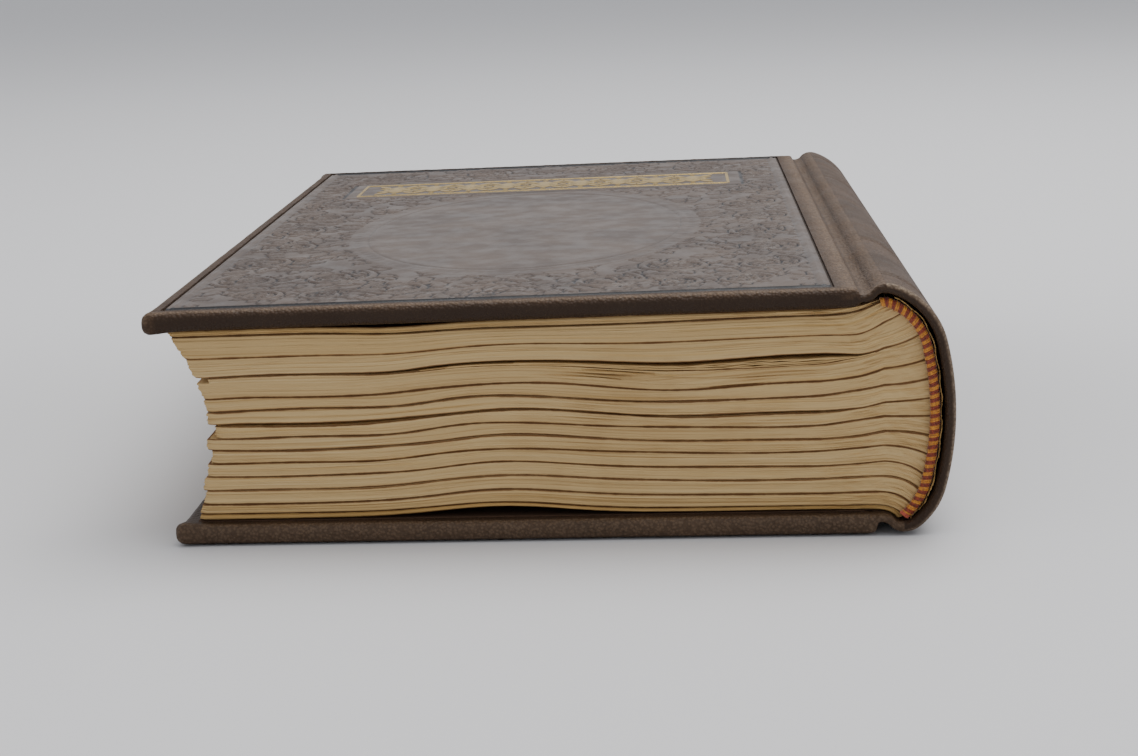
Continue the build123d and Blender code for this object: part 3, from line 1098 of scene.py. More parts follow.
    def face_endpaper(self, piece: Piece, number: int, w: Points) -> None:
        """Colours the outermost leaf's outer face like the pasted half that it lies against, dark
        as painted shade in the gap.
        """
        if number not in (0, len(SECTIONS) - 1):
            return
        piece.data.materials.append(self.endpaper)
        level = 0.0 if number == 0 else 1.0
        for face in piece.data.polygons:
            if all(abs(w[corner] - level) < 1e-6 for corner in face.vertices):
                face.material_index = 1

    @staticmethod
    def lens(x: Points, row: Points) -> Points:
        """Long narrow openings between cockled leaves, as depths in from the end."""
        open_at = np.clip(np.sin(x * 0.135 + row * 1.9) - 0.15, 0, 1) * (row % 3 == 1)
        return 1.7 * open_at * bell(x, COCKLED_X, 20)

    @staticmethod
    def ripple(x: Points, row: Points) -> Points:
        """Cockling of the leaves, each in its own wave."""
        waves = np.sin(x * 0.21 + row * 0.9) + 0.6 * np.sin(x * 0.43 + row * 1.7)
        return waves * bell(x, COCKLED_X, 22)

    def row_places(self) -> Points:
        """Where the cuts across the book lie, from -1 to 1, closer at the ends."""
        half = np.array([0.0, 0.3, 0.8, 1.6, 3.5, 7.0])
        near = 1 - 12 / PAGES_HALF_HEIGHT
        inner = np.linspace(-near, near, self.rows + 1 - 2 * len(half))
        ends = -1 + half / PAGES_HALF_HEIGHT
        return np.concatenate([ends, inner, -ends[::-1]])

    def swell(self, chance: random.Random) -> tuple[Points, Points]:
        """A slow seeded wave along the height of the book."""
        places = np.linspace(-PAGES_HALF_HEIGHT, PAGES_HALF_HEIGHT, 60)
        phase, pitch = chance.uniform(0, 6.28), chance.uniform(0.025, 0.05)
        quick = 0.5 * np.sin(places * pitch * 2.7 + phase * 2)
        return places, np.sin(places * pitch + phase) + quick

    def build(self) -> list[Piece]:
        """Makes every section."""
        body = np.linspace(0, 0.9, self.along_faces - self.back_faces + 1)
        body[1:4] = (0.004, 0.010, 0.020)
        body[4:] = np.linspace(0.035, 0.9, len(body) - 4)
        steps = np.concatenate([body, np.linspace(0.9, 1.0, self.back_faces + 1)[1:]])
        lines = self.lines(steps)
        made = []
        blanks: dict[int, Piece] = {}
        for number, section in enumerate(SECTIONS):
            count = section.leaves
            if count not in blanks:
                blanks[count] = Bench.blank("pages_blank", self.along_faces, self.rows, count)
            made.append(self.shape(blanks[count], number, lines[number], steps))
        for blank in blanks.values():
            Bench.remove(blank)
        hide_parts("text_block")
        return made


@dataclass
class LooseLeaves:
    """A few leaves that stand apart in waves, in the gap over the third section."""

    stack: PageStack
    finish: Material
    count: int = 7
    span: Pair = (-30.0, 73.5)
    depth: float = 60.0
    thickness: float = 0.17
    seed: int = 3

    def leaf(self, number: int, end: End, chance: random.Random) -> Piece:
        """One waved leaf.

        Args:
            number: Its place, from the bottom.
            end: The end of the book that it shows at.
            chance: The seeded draw.

        Returns:
            The closed leaf.
        """
        piece = Bench.sheet(f"loose_leaf_{end.name.lower()}_{number + 1}", 90, 8)
        unit = Bench.points(piece)
        low, high = self.span
        start = low + chance.uniform(0, 26)
        x = start + (high - start) * unit[:, 0]
        level = self.stack.heights(x)
        floor, roof = level[10][1], level[11][0]
        floor, roof = floor + self.stack.sag(x, floor), roof + self.stack.sag(x, roof)
        room = np.maximum(roof - floor - 0.45, 0.02)
        share = (number + 0.6) / self.count
        bow = np.sin(np.clip((x - 8) / 60, 0, 1) * math.pi)
        wave = 0.10 * np.sin(x * 0.21 + number * 1.9) + 0.07 * np.sin(x * 0.47 + number * 2.7)
        z = floor + room * np.clip(0.72 * share + wave * bow, 0.03, 0.78)
        fade = smoothstep((x - 66) / 7)
        z = z * (1 - fade) + (floor + room * 0.5) * fade
        inward = 0.25 + chance.uniform(-0.2, 0.25) + 0.12 * np.sin(x * 0.3 + number * 2)
        y = end.value * (PAGES_HALF_HEIGHT - inward - self.depth * (1 - unit[:, 1]))
        Bench.put(piece, np.column_stack([x, y, z]) * MM)
        Bench.mark(piece, "leaf", np.full(len(x), number * 2.3))
        Bench.mark(piece, "rim", np.ones(len(x)))
        Bench.mark(piece, "warm", np.full(len(x), 0.12))
        make_sheet(piece, self.thickness, 40, self.finish)
        return settle(piece, Body.BLOCK)

    def build(self) -> list[Piece]:
        """Makes the leaves at both ends."""
        chance = random.Random(self.seed)
        return [self.leaf(number, end, chance) for end in End for number in range(self.count)]


# ---------------------------------------------------------------------------
# Covers
# ---------------------------------------------------------------------------


@dataclass(frozen=True)
class CoverPlan:
    """Where one cover lies. Heights run outwards, so the lower cover has its Z turned over."""

    side: Side
    body: Body
    crest: Pair
    plane: float
    edge: float
    fore: float
    tilt: float

    @property
    def name(self) -> str:
        """Which cover it is, as its pieces' names begin."""
        return self.side.name.lower()

    def surface(self, x: Points) -> Points:
        """Height of the cover's outer face."""
        return self.plane + (x - self.edge) * math.tan(math.radians(self.tilt))

    def blend(self, piece: Piece) -> None:
        """Bakes the piece's place into its mesh."""
        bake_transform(piece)


UPPER_PLAN = CoverPlan(Side.UPPER, Body.UPPER, (75.61, 58.1), 57.2, 69.41, -91.37, TILT)
LOWER_PLAN = CoverPlan(Side.LOWER, Body.LOWER, (79.861, -0.5), 0.0, 73.661, -87.139, 0.0)


Station = tuple[float, float, float, float, float]
"""One cross line of a cover's leather: outer X and Z, inner X and Z, and wear."""


@dataclass
class CoverHide:
    """The leather of one cover: ridge, joint groove and board, with its edges turned in."""

    plan: CoverPlan
    finish: Material
    ridge_radius: float = 4.01
    valley_radius: float = 2.41
    slope: float = 51.2
    valley_flat: float = 0.9
    edge_round: float = 1.95
    corner_round: float = 2.0
    knob: float = 0.85
    knob_reach: Pair = (5.0, 3.4)
    turn_in: float = 14.0
    panel_margin: float = 3.2
    panel_spine_margin: float = 5.0
    sink: float = 0.55
    recess_step: float = 0.12
    end_thickness: float = 2.3
    groove_thickness: float = 1.75
    grain_height: float = 0.11

    def stations(self) -> list[Station]:
        """Every cross line from the crest to the fore edge."""
        groove = self.groove()
        valley_x, valley_z = groove[-1][:2]
        return [*groove, *self.shoulder(valley_x, valley_z), *self.face(), *self.fore_edge()]

    def groove(self) -> list[Station]:
        """The ridge, and the round bottom of the joint groove."""
        thin = self.groove_thickness
        found = []
        cx, cz = self.plan.crest[0], self.plan.crest[1] - self.ridge_radius
        for turn in np.linspace(0, self.slope, 9):
            a = math.radians(turn)
            thick = self.end_thickness + (thin - self.end_thickness) * turn / self.slope
            x, z = cx - self.ridge_radius * math.sin(a), cz + self.ridge_radius * math.cos(a)
            worn = 0.30 + 0.30 * math.cos(a * 1.6)
            found.append((x, z, x + thick * math.sin(a), z - thick * math.cos(a), worn))
        a = math.radians(self.slope)
        x, z = found[-1][:2]
        cx, cz = x - self.valley_radius * math.sin(a), z + self.valley_radius * math.cos(a)
        for turn in np.linspace(self.slope, 0, 8)[1:]:
            a = math.radians(turn)
            x, z = cx + self.valley_radius * math.sin(a), cz - self.valley_radius * math.cos(a)
            found.append((x, z, x + thin * math.sin(a) * 0.6, z - thin, 0.62))
        return found

    def shoulder(self, valley_x: float, valley_z: float) -> list[Station]:
        """The climb out of the groove over the board's back edge.

        Args:
            valley_x: X of the groove's bottom.
            valley_z: Z of the groove's bottom.

        Returns:
            The cross lines.
        """
        edge, plane = self.plan.edge, self.plan.plane
        inner = plane - COVER
        rise, fall = plane - valley_z, valley_z - self.groove_thickness - inner
        climb = (
            (valley_x - 0.45 * self.valley_flat, 0.0, 0.05),
            (edge + 0.45, 0.04, 0.14),
            (edge + 0.22, 0.20, 0.30),
            (edge + 0.10, 0.45, 0.45),
            (edge - 0.05, 0.68, 0.60),
            (edge - 0.35, 0.86, 0.74),
            (edge - 0.80, 0.955, 0.86),
            (edge - 1.35, 0.985, 0.95),
        )
        return [
            (x, valley_z + rise * share, x, inner + fall * (1 - drop) ** 1.3, 0.30 + 0.70 * share)
            for x, share, drop in climb
        ]

    def face(self) -> list[Station]:
        """The board's face, with lines close together at both edges of the panel's recess."""
        edge, step = self.plan.edge, self.recess_step
        right, left = edge - self.panel_spine_margin, self.plan.fore + self.panel_margin
        inside = np.linspace(right - 1, left + 1, 190)
        found = []
        for x in [edge - 2.2, edge - 3.4, right, right - step, *inside, left + step, left]:
            top = float(self.plan.surface(np.array(x)))
            near_groove = 0.85 * math.exp(-(((edge - 1.3 - x) / 2.7) ** 2))
            found.append((x, top, x, top - COVER, near_groove if x > right - 1 else 0.05))
        return found

    def fore_edge(self) -> list[Station]:
        """The rounded fore edge."""
        half = COVER / 2
        found = []
        for share in (1.0, 0.86, 0.72, 0.58, 0.44, 0.31, 0.19, 0.09, 0.02, 0.0):
            x = self.plan.fore + self.edge_round * share
            middle = float(self.plan.surface(np.array(x))) - half
            reach = half * (1 - (1 - share) ** ROUNDNESS) ** (1 / ROUNDNESS)
            worn = 0.9 * (1 - share) ** 0.5 * share**0.25
            found.append((x, middle + reach, x, middle - reach, worn))
        return found

    def places(self) -> Points:
        """Distances from the tail end of each cut across the cover, up to the middle."""
        rim = (0.0, 0.03, 0.12, 0.28, 0.5, 0.8, 1.15, 1.6, 2.15, 2.7)
        margin = self.panel_margin
        recess = (margin, margin + self.recess_step, 5.0, 9.0, self.turn_in)
        return np.array([*rim, *recess, *np.linspace(20, BOOK_HALF_HEIGHT, 19)])

    def build(self) -> Piece:
        """Makes the hide and bakes its place into its mesh.

        Returns:
            The leather piece.
        """
        stations = np.array(self.stations())
        half = self.places()
        across = np.concatenate([-BOOK_HALF_HEIGHT + half, (BOOK_HALF_HEIGHT - half)[::-1][1:]])
        around = len(across) * 2 - 2
        side = self.plan.side.value
        piece = Bench.sheet(f"{self.plan.name}_cover_hide", len(stations) - 1, around)
        unit = Bench.points(piece)
        column = np.rint(unit[:, 0] * (len(stations) - 1)).astype(int)
        ring = np.rint(unit[:, 1] * around).astype(int)
        outer = ring < len(across)
        spot = np.where(outer, ring, around - ring)
        y = across[np.clip(spot, 0, len(across) - 1)]
        ox, oz, ix, iz, worn = stations[column].T
        depth = self.plan.fore + self.corner_round
        round_off = 1 - np.sqrt(np.clip(1 - ((depth - ox) / self.corner_round) ** 2, 0, 1))
        inset = np.where(ox < depth, self.corner_round * round_off, 0)
        end = BOOK_HALF_HEIGHT - np.abs(y)
        half_thick = np.hypot(ox - ix, oz - iz) / 2
        reach = np.minimum(self.edge_round, np.maximum(half_thick * 0.95, 0.02))
        close = 1 - (1 - np.clip(end / reach, 0, 1)) ** ROUNDNESS
        close = np.clip(close, 0, 1) ** (1 / ROUNDNESS)
        mid_x, mid_z = (ox + ix) / 2, (oz + iz) / 2
        sign = np.where(outer, 1.0, -1.0)
        x = mid_x + sign * (ox - mid_x) * close
        z = mid_z + sign * (oz - mid_z) * close
        inside = 0.06
        left = self.plan.fore + self.panel_margin + inside
        right = self.plan.edge - self.panel_spine_margin - inside
        within = np.abs(y) < BOOK_HALF_HEIGHT - self.panel_margin - inside
        sunk = outer & (ox > left) & (ox < right) & within
        z = z - sunk * self.sink
        y = np.sign(y) * (np.abs(y) - inset * np.clip(np.abs(y) / 20 - 4, 0, 1))
        reach_x, reach_y = self.knob_reach
        fold = self.knob * np.exp(-(((ox - self.plan.fore) / reach_x) ** 2) - (end / reach_y) ** 2)
        x = x - fold * bell(ox, self.plan.fore, 2.5)
        y = y + np.sign(y) * 0.5 * fold * bell(end, 0, 2.0)
        z = z - (0.5 - 0.5 * sign * close) * fold
        soft = 0.05 * np.sin(y * 0.31 + ox * 0.07) + 0.04 * np.sin(y * 0.83 + 1.3)
        soft = soft + 0.03 * np.sin(ox * 0.9 + y * 0.11)
        free = outer & ~sunk & (ox > depth) & (end > 1.5)
        z = z + soft * free * (0.6 if self.plan.side is Side.UPPER else 0.0)
        wear = self.wear(worn, outer, end, ox > depth)
        # Painted shade in the panel's recess, seen in the slot round the panel.
        wear = np.where(sunk, -1.0, wear)
        Bench.put(piece, np.column_stack([x, y, z * side]) * MM)
        Bench.mark(piece, "wear", wear)
        self.open_inside(piece, ox, y, outer)
        Bench.merge(piece)
        Bench.outward(piece)
        self.face_out(piece)
        pebble(piece, self.grain_height, 0.8)
        Bench.thicken(piece, LEATHER * MM)
        Bench.soften(piece, 38)
        dress(piece, self.finish)
        self.plan.blend(piece)
        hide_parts(f"{self.plan.name}_cover_leather")
        report(piece)
        return piece

    def wear(self, worn: Points, outer: Points, end: Points, free: Points) -> Points:
        """How rubbed each point is, with a painted highlight along the top of the rim, and below 0
        where shade is painted.

        Args:
            worn: What the cross line says.
            outer: Whether the point is on the outer side.
            end: Distance from the tail or head.
            free: Whether it lies away from the fore edge.

        Returns:
            Wear and painted light from -1 to 1: above 0 wear, on the rim top also a painted
            highlight; below 0 painted shade.
        """
        # A band along the top of the rounded rim: wear and a painted highlight.
        rubbed = bell(end, 1.15, 0.80)
        if self.plan.side is Side.UPPER:
            # Upper cover: painted shade on the middle and lower part of its side face, and on its
            # inner face, away from the fore edge.
            rim, under = np.where(outer, rubbed, 0.0), np.where(outer, bell(end, 0, 0.62), 1.0)
        else:
            # Lower cover: the band on the top of its rim, wear and a painted highlight, and wear on
            # its side.
            inner = np.maximum(rubbed * 0.7, 0.58 * (end < 0.9))
            rim, under = np.where(outer, 0.58 * (end < 0.6), inner), 0.0
        return np.clip(np.maximum(worn * outer, rim) - under * free, -1, 1)

    def open_inside(self, piece: Piece, x: Points, y: Points, outer: np.ndarray) -> None:
        """Opens the inner side between the turn-ins, so that the leather is a skin, not a slab.

        Args:
            piece: The hide.
            x: X of each of its points, before shaping.
            y: Y of each of its points.
            outer: Whether each point is on the outer side.
        """
        limit = self.plan.fore + self.turn_in
        unwanted = []
        for face in piece.data.polygons:
            corners = list(face.vertices)
            if outer[corners].all():
                continue
            cx, cy = float(np.mean(x[corners])), float(np.mean(y[corners]))
            if cx > limit and abs(cy) < BOOK_HALF_HEIGHT - self.turn_in:
                unwanted.append(face.index)
        Bench.drop(piece, unwanted)

    def face_out(self, piece: Piece) -> None:
        """Turns the skin over if its outer face looks inwards."""
        side = self.plan.side.value
        total = sum(face.normal.z * face.area for face in piece.data.polygons)
        if total * side < 0:
            Bench.only(piece)
            with Bench.editing():
                bpy.ops.mesh.flip_normals()


@dataclass
class SpineHide:
    """The leather of the round back, with both ends rolled over the stiffener."""

    finish: Material
    roll: float = 2.3
    roll_length: float = 12.0
    roll_round: float = 1.1
    fillets: tuple[float, ...] = (-112.0, -109.5, -62.0, -59.5, 59.5, 62.0, 109.5, 112.0)
    fillet_depth: float = 0.34
    fillet_width: float = 0.9
    steps: tuple[int, ...] = (5, 18, 26, 14, 10)

    def outline(self) -> list[tuple[float, float]]:
        """The skin's cross line at the upper crest, all the way round, as Y and depth."""
        top = BOOK_HALF_HEIGHT
        rounding = [
            (top - self.roll_round * (1 - math.sin(a)), self.roll_round * (1 - math.cos(a)))
            for a in np.linspace(0, math.pi / 2, 6)
        ]
        under = [(y, self.roll - d) for y, d in rounding[::-1]]
        cuts = set(np.linspace(-110, 110, 45))
        cuts |= {side * y for side in (-1, 1) for y in (117.0, 120.5, 122.2, 123.2)}
        wide, narrow = self.fillet_width, self.fillet_width / 3
        for y in self.fillets:
            cuts.update((y - wide, y - narrow, y, y + narrow, y + wide))
        outer = [(y, self.groove(y)) for y in sorted(cuts)]
        step = top - self.roll_length
        inner = [(step + 0.4, self.roll), (step, self.roll - 0.3), (step - 0.3, LEATHER)]
        inner += [(y, LEATHER) for y in np.linspace(110, -110, 12)]
        inner += [(-y, d) for y, d in inner[2::-1]]
        right = [*outer, *rounding, *under, *inner]
        return right + [(-y, d) for y, d in under[::-1]] + [(-y, d) for y, d in rounding[::-1]]

    @staticmethod
    def wear(y: float, depth: float) -> float:
        """Rubbed at the outer rim, with a painted highlight there, and painted shade where it rolls
        in.
        """
        end = BOOK_HALF_HEIGHT - abs(y)
        if depth > 1.0:
            return -0.8 if end < 11 else 0.0
        return 0.05 + 0.85 * math.exp(-(((end - 0.6) / 0.8) ** 2)) * (1 if depth < 0.7 else 0.55)

    def groove(self, y: float) -> float:
        """Depth of the blind lines across the back."""
        width = self.fillet_width * 0.4
        return sum(self.fillet_depth * math.exp(-(((y - at) / width) ** 2)) for at in self.fillets)

    def build(self) -> Piece:
        """Makes the back by turning its cross line round each arc in turn.

        Returns:
            The leather piece.
        """
        first = LEATHER_BACK.arcs[0]
        x, z = first.at(0)
        ring = self.outline()
        piece = Bench.disc("spine_hide", len(ring))
        Bench.put(piece, np.array([(x, y, z - depth) for y, depth in ring]) * MM)
        Bench.mark(piece, "wear", np.array([self.wear(y, depth) for y, depth in ring]))
        with Bench.editing():
            for arc, steps in zip(LEATHER_BACK.arcs, self.steps):
                arc.spin(steps, arc.stop - arc.start)
        complete(piece, 38, self.finish)
        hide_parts("spine_leather")
        return settle(piece, Body.BLOCK)


# ---------------------------------------------------------------------------
# Pressed panel
# ---------------------------------------------------------------------------


SCROLL_TURN = 7.4  # how far round a spiral runs, in radians


@dataclass(frozen=True)
class Leaf:
    """One pressed leaf: where its stalk is, where it points, and its size."""

    x: float
    y: float
    angle: float
    length: float
    width: float
    bend: float = 0.0

    def mirrored(self) -> "Leaf":
        """The same leaf on the other half of the cover."""
        return Leaf(-self.x, self.y, math.pi - self.angle, self.length, self.width, -self.bend)


@dataclass
class Ornament:
    """A generic field of leaf scrolls round a smooth oval, drawn by rule."""

    half_width: float
    half_height: float
    cell: float = 0.5
    middle: float = 0.0
    oval: Triple = (44.0, 68.0, -16.0)
    plate: Triple = (62.0, 57.0, 88.0)
    ground: float = -0.42
    crown: float = 0.04
    outline: float = 0.42
    frame: float = 3.2
    ceiling: float = 0.16
    channel: Pair = (1.4, -0.47)
    scrolls: tuple[tuple[float, float, float, float, int], ...] = (
        (57, -107, 7.2, 0.4, 1),
        (41, -108, 7.2, 2.6, -1),
        (24, -102, 9.5, 0.9, -1),
        (63, -86, 10, 1.2, -1),
        (42, -85, 10, 2.2, 1),
        (64, -61, 10, -1.0, 1),
        (62, -35, 11, 1.3, -1),
        (64, -9, 10, -1.1, 1),
        (62, 17, 11, 1.4, -1),
        (64, 43, 9.5, -1.2, 1),
        (52, 104, 13, -0.6, -1),
        (22, 105, 11, 0.5, 1),
        (66, 80, 9, 1.8, 1),
    )
    seed: int = 21
    heights: np.ndarray = field(init=False)
    xs: np.ndarray = field(init=False)
    ys: np.ndarray = field(init=False)
    cover: np.ndarray = field(init=False)

    def __post_init__(self) -> None:
        """Draws the whole field."""
        across = int(round(2 * self.half_width / self.cell))
        along = int(round(2 * self.half_height / self.cell))
        self.xs = np.linspace(-self.half_width, self.half_width, across + 1)
        self.ys = np.linspace(-self.half_height, self.half_height, along + 1)
        gx, gy = np.meshgrid(self.xs, self.ys)
        self.heights = self.ground + 0.26 + 0.03 * np.cos(gx * 4.2) * np.cos(gy * 4.2)
        self.cover = np.zeros_like(self.heights, bool)
        for leaf in self.foliage():
            self.press_leaf(leaf)
        self.press_stems()
        self.fill_gaps()
        self.press_oval(gx, gy)
        self.press_plate(gx, gy)
        self.press_frame(gx, gy)

    def foliage(self) -> list[Leaf]:
        """The scrolls of one half and their mirror images."""
        made = []
        for x, y, radius, start, turn in self.scrolls:
            made += self.scroll(x, y, radius, start, turn)
        for turn in (-1.1, -0.7, -0.35, 0, 0.35, 0.7, 1.1):
            made.append(Leaf(0, -118, 1.571 + turn, 15 - abs(turn) * 5, 4.4, 0.02 * turn))
        return made + [leaf.mirrored() for leaf in made]

    @staticmethod
    def scroll(x: float, y: float, radius: float, start: float, turn: int) -> list[Leaf]:
        """Leaves along one spiral, with a small flower in its eye."""
        made = []
        for step in range(10):
            share = step / 9
            reach = radius * (1 - 0.72 * share)
            angle = start + turn * share * SCROLL_TURN
            px, py = x + reach * math.cos(angle), y + reach * math.sin(angle)
            ahead = angle + turn * math.pi / 2
            size = radius * (0.72 - 0.36 * share)
            made.append(Leaf(px, py, ahead - turn * 0.75, size, size * 0.36, -0.03 * turn))
            made.append(Leaf(px, py, ahead + turn * 0.55, size * 0.8, size * 0.30, 0.04 * turn))
        for petal in range(6):
            angle = start + petal * math.pi / 3
            px, py = x + 0.5 * math.cos(angle), y + 0.5 * math.sin(angle)
            made.append(Leaf(px, py, angle, radius * 0.27, radius * 0.13))
        return made

    def window(
        self, x: float, y: float, reach: float
    ) -> tuple[tuple[slice, slice], Points, Points]:
        """The part of the field round a place.

        Args:
            x: The place across the cover.
            y: The place along the cover.
            reach: How far the part runs to each side.

        Returns:
            Its rows and columns, and how far its points lie across and along from the place.
        """
        columns = slice(*np.searchsorted(self.xs, (x - reach, x + reach)))
        rows = slice(*np.searchsorted(self.ys, (y - reach, y + reach)))
        return (rows, columns), *np.meshgrid(self.xs[columns] - x, self.ys[rows] - y)

    def press_leaf(self, leaf: Leaf) -> None:
        """Raises one leaf out of the ground, with a vein down its middle."""
        spot, gx, gy = self.window(leaf.x, leaf.y, leaf.length + leaf.width)
        if not gx.size:
            return
        along = (gx * math.cos(leaf.angle) + gy * math.sin(leaf.angle)) / leaf.length
        aside = -gx * math.sin(leaf.angle) + gy * math.cos(leaf.angle)
        aside = aside - leaf.bend * (along * leaf.length) ** 2
        span = leaf.width * np.sin(np.pi * np.clip(along, 0, 1) ** 0.75) ** 0.8
        span = span * (1 + 0.13 * np.sin(along * 22))
        edge = np.where((along > 0) & (along < 1), np.abs(aside) / np.maximum(span, 1e-3), 9.0)
        within = edge < 1
        dome = (1 - np.clip(edge, 0, 1) ** 4.0) ** 0.8
        vein = 0.13 * bell(aside, 0, 0.33) * (along < 0.86)
        ribs = 0.035 * np.sin(along * 30 + np.abs(aside) * 2.2)
        raised = self.ground - 0.10 + (self.crown - self.ground + 0.10) * dome - vein + ribs * dome
        view = self.heights[spot]
        outline = (along > -0.03) & (along < 1.03) & (edge >= 1)
        outline &= np.abs(aside) < span + self.outline
        view[outline] = np.minimum(view[outline], self.ground)
        view[within] = raised[within]
        self.cover[spot] |= within

    def press_stems(self) -> None:
        """Raises a round stem along each spiral, over its leaves, between two dark lines."""
        for raised in (False, True):
            for x, y, radius, start, turn in self.scrolls:
                for step in range(150):
                    share = step / 149
                    reach = radius * (1 - 0.76 * share)
                    angle = start + turn * share * SCROLL_TURN
                    size = 0.60 + 0.055 * radius - 0.40 * share
                    px, py = x + reach * math.cos(angle), y + reach * math.sin(angle)
                    for side in (-1, 1):
                        self.press_bead(side * px, py, size, raised)

    def press_bead(self, x: float, y: float, radius: float, raised: bool) -> None:
        """Raises one round spot, or sinks the line round it.

        Args:
            x: Its place across the cover.
            y: Its place along the cover.
            radius: Its radius.
            raised: True for the spot, False for the line.
        """
        spot, gx, gy = self.window(x, y, radius + 0.5)
        if not gx.size:
            return
        away = np.hypot(gx, gy) / radius
        view = self.heights[spot]
        stem = (self.crown + 0.03) - (self.crown - self.ground + 0.10) * np.clip(away, 0, 1) ** 4
        if raised:
            inside = away < 0.9
            view[inside] = np.maximum(view[inside], stem[inside])
        else:
            ring = away * radius < radius + self.outline
            view[ring] = self.ground - 0.06
            self.cover[spot] |= ring

    def covered(self, x: float, y: float) -> bool:
        """Whether a leaf or a stem covers the ground at a place, or at the edge next to it."""
        row = min(max(int((y + self.half_height) / self.cell), 0), len(self.ys) - 1)
        column = min(max(int((x + self.half_width) / self.cell), 0), len(self.xs) - 1)
        return bool(self.cover[row, column])

    def fill_gaps(self) -> None:
        """Sets small leaves where the ground is still bare, so that the field is close and even."""
        chance = random.Random(self.seed)
        for _ in range(1100):
            x = chance.uniform(0, self.half_width)
            y = chance.uniform(-self.half_height, self.half_height)
            size = chance.uniform(4.6, 8.0)
            angle = math.atan2(y - self.oval[2], x) + chance.uniform(-1.3, 1.3)
            tip = (x + size * math.cos(angle), y + size * math.sin(angle))
            if self.covered(x, y) or self.covered(*tip):
                continue
            leaf = Leaf(x, y, angle, size, size * 0.30, 0.03)
            self.press_leaf(leaf)
            self.press_leaf(leaf.mirrored())

    def press_oval(self, gx: Points, gy: Points) -> None:
        """Clears the smooth oval and rims it with two rings and a row of beads."""
        a, b, centre = self.oval
        radius = np.hypot(gx / a, (gy - centre) / b)
        distance = (radius - 1) * (a + b) / 2
        field_height = -0.10 + 0.10 * np.clip(1 - radius, 0, 1)
        ring = bell(distance, 0, 0.8) * 0.16
        second = bell(distance, 4.2, 0.6) * 0.14
        angle = np.arctan2((gy - centre) / b, gx / a)
        beads = np.clip(np.cos(angle * 108), 0, 1) * bell(distance, 2.1, 0.8) * 0.10
        band = self.ground + 0.20 + ring + second + beads
        outside = np.where(distance < 5.2, band, self.heights)
        self.heights = np.where(distance < -0.2, field_height, outside)
        inner = (distance < -0.2) & (distance > -2.2)
        line = np.minimum(self.heights, -0.10 - 0.2 * bell(distance, -1.6, 0.35))
        self.heights = np.where(inner, line, self.heights)

    def press_plate(self, gx: Points, gy: Points) -> None:
        """Clears the flat plate that carries the gilt band."""
        width, low, high = self.plate
        outside = np.maximum(np.abs(gx) - width, np.maximum(low - gy, gy - high))
        edge = np.clip(-outside / 0.5, 0, 1)
        self.heights = np.where(outside < 0, self.ground + 0.34 * edge, self.heights)
        rim = (outside >= 0) & (outside < 0.9)
        self.heights = np.where(rim, self.ground, self.heights)

    def press_frame(self, gx: Points, gy: Points) -> None:
        """Runs the raised line and the flat border round the field."""
        margin = np.minimum(self.half_width - np.abs(gx), self.half_height - np.abs(gy))
        border = np.where(margin < self.frame, -0.02, self.heights)
        line = 0.16 * bell(margin, 1.5, 0.5) - 0.20 * bell(margin, 0.5, 0.4)
        second = -0.30 * bell(margin, 2.5, 0.5)
        self.heights = np.where(margin < self.frame, border + line + second, self.heights)
        width, depth = self.channel
        self.heights = np.where(self.half_height - np.abs(gy) < width, depth, self.heights)
        self.heights = np.minimum(self.heights, self.ceiling)


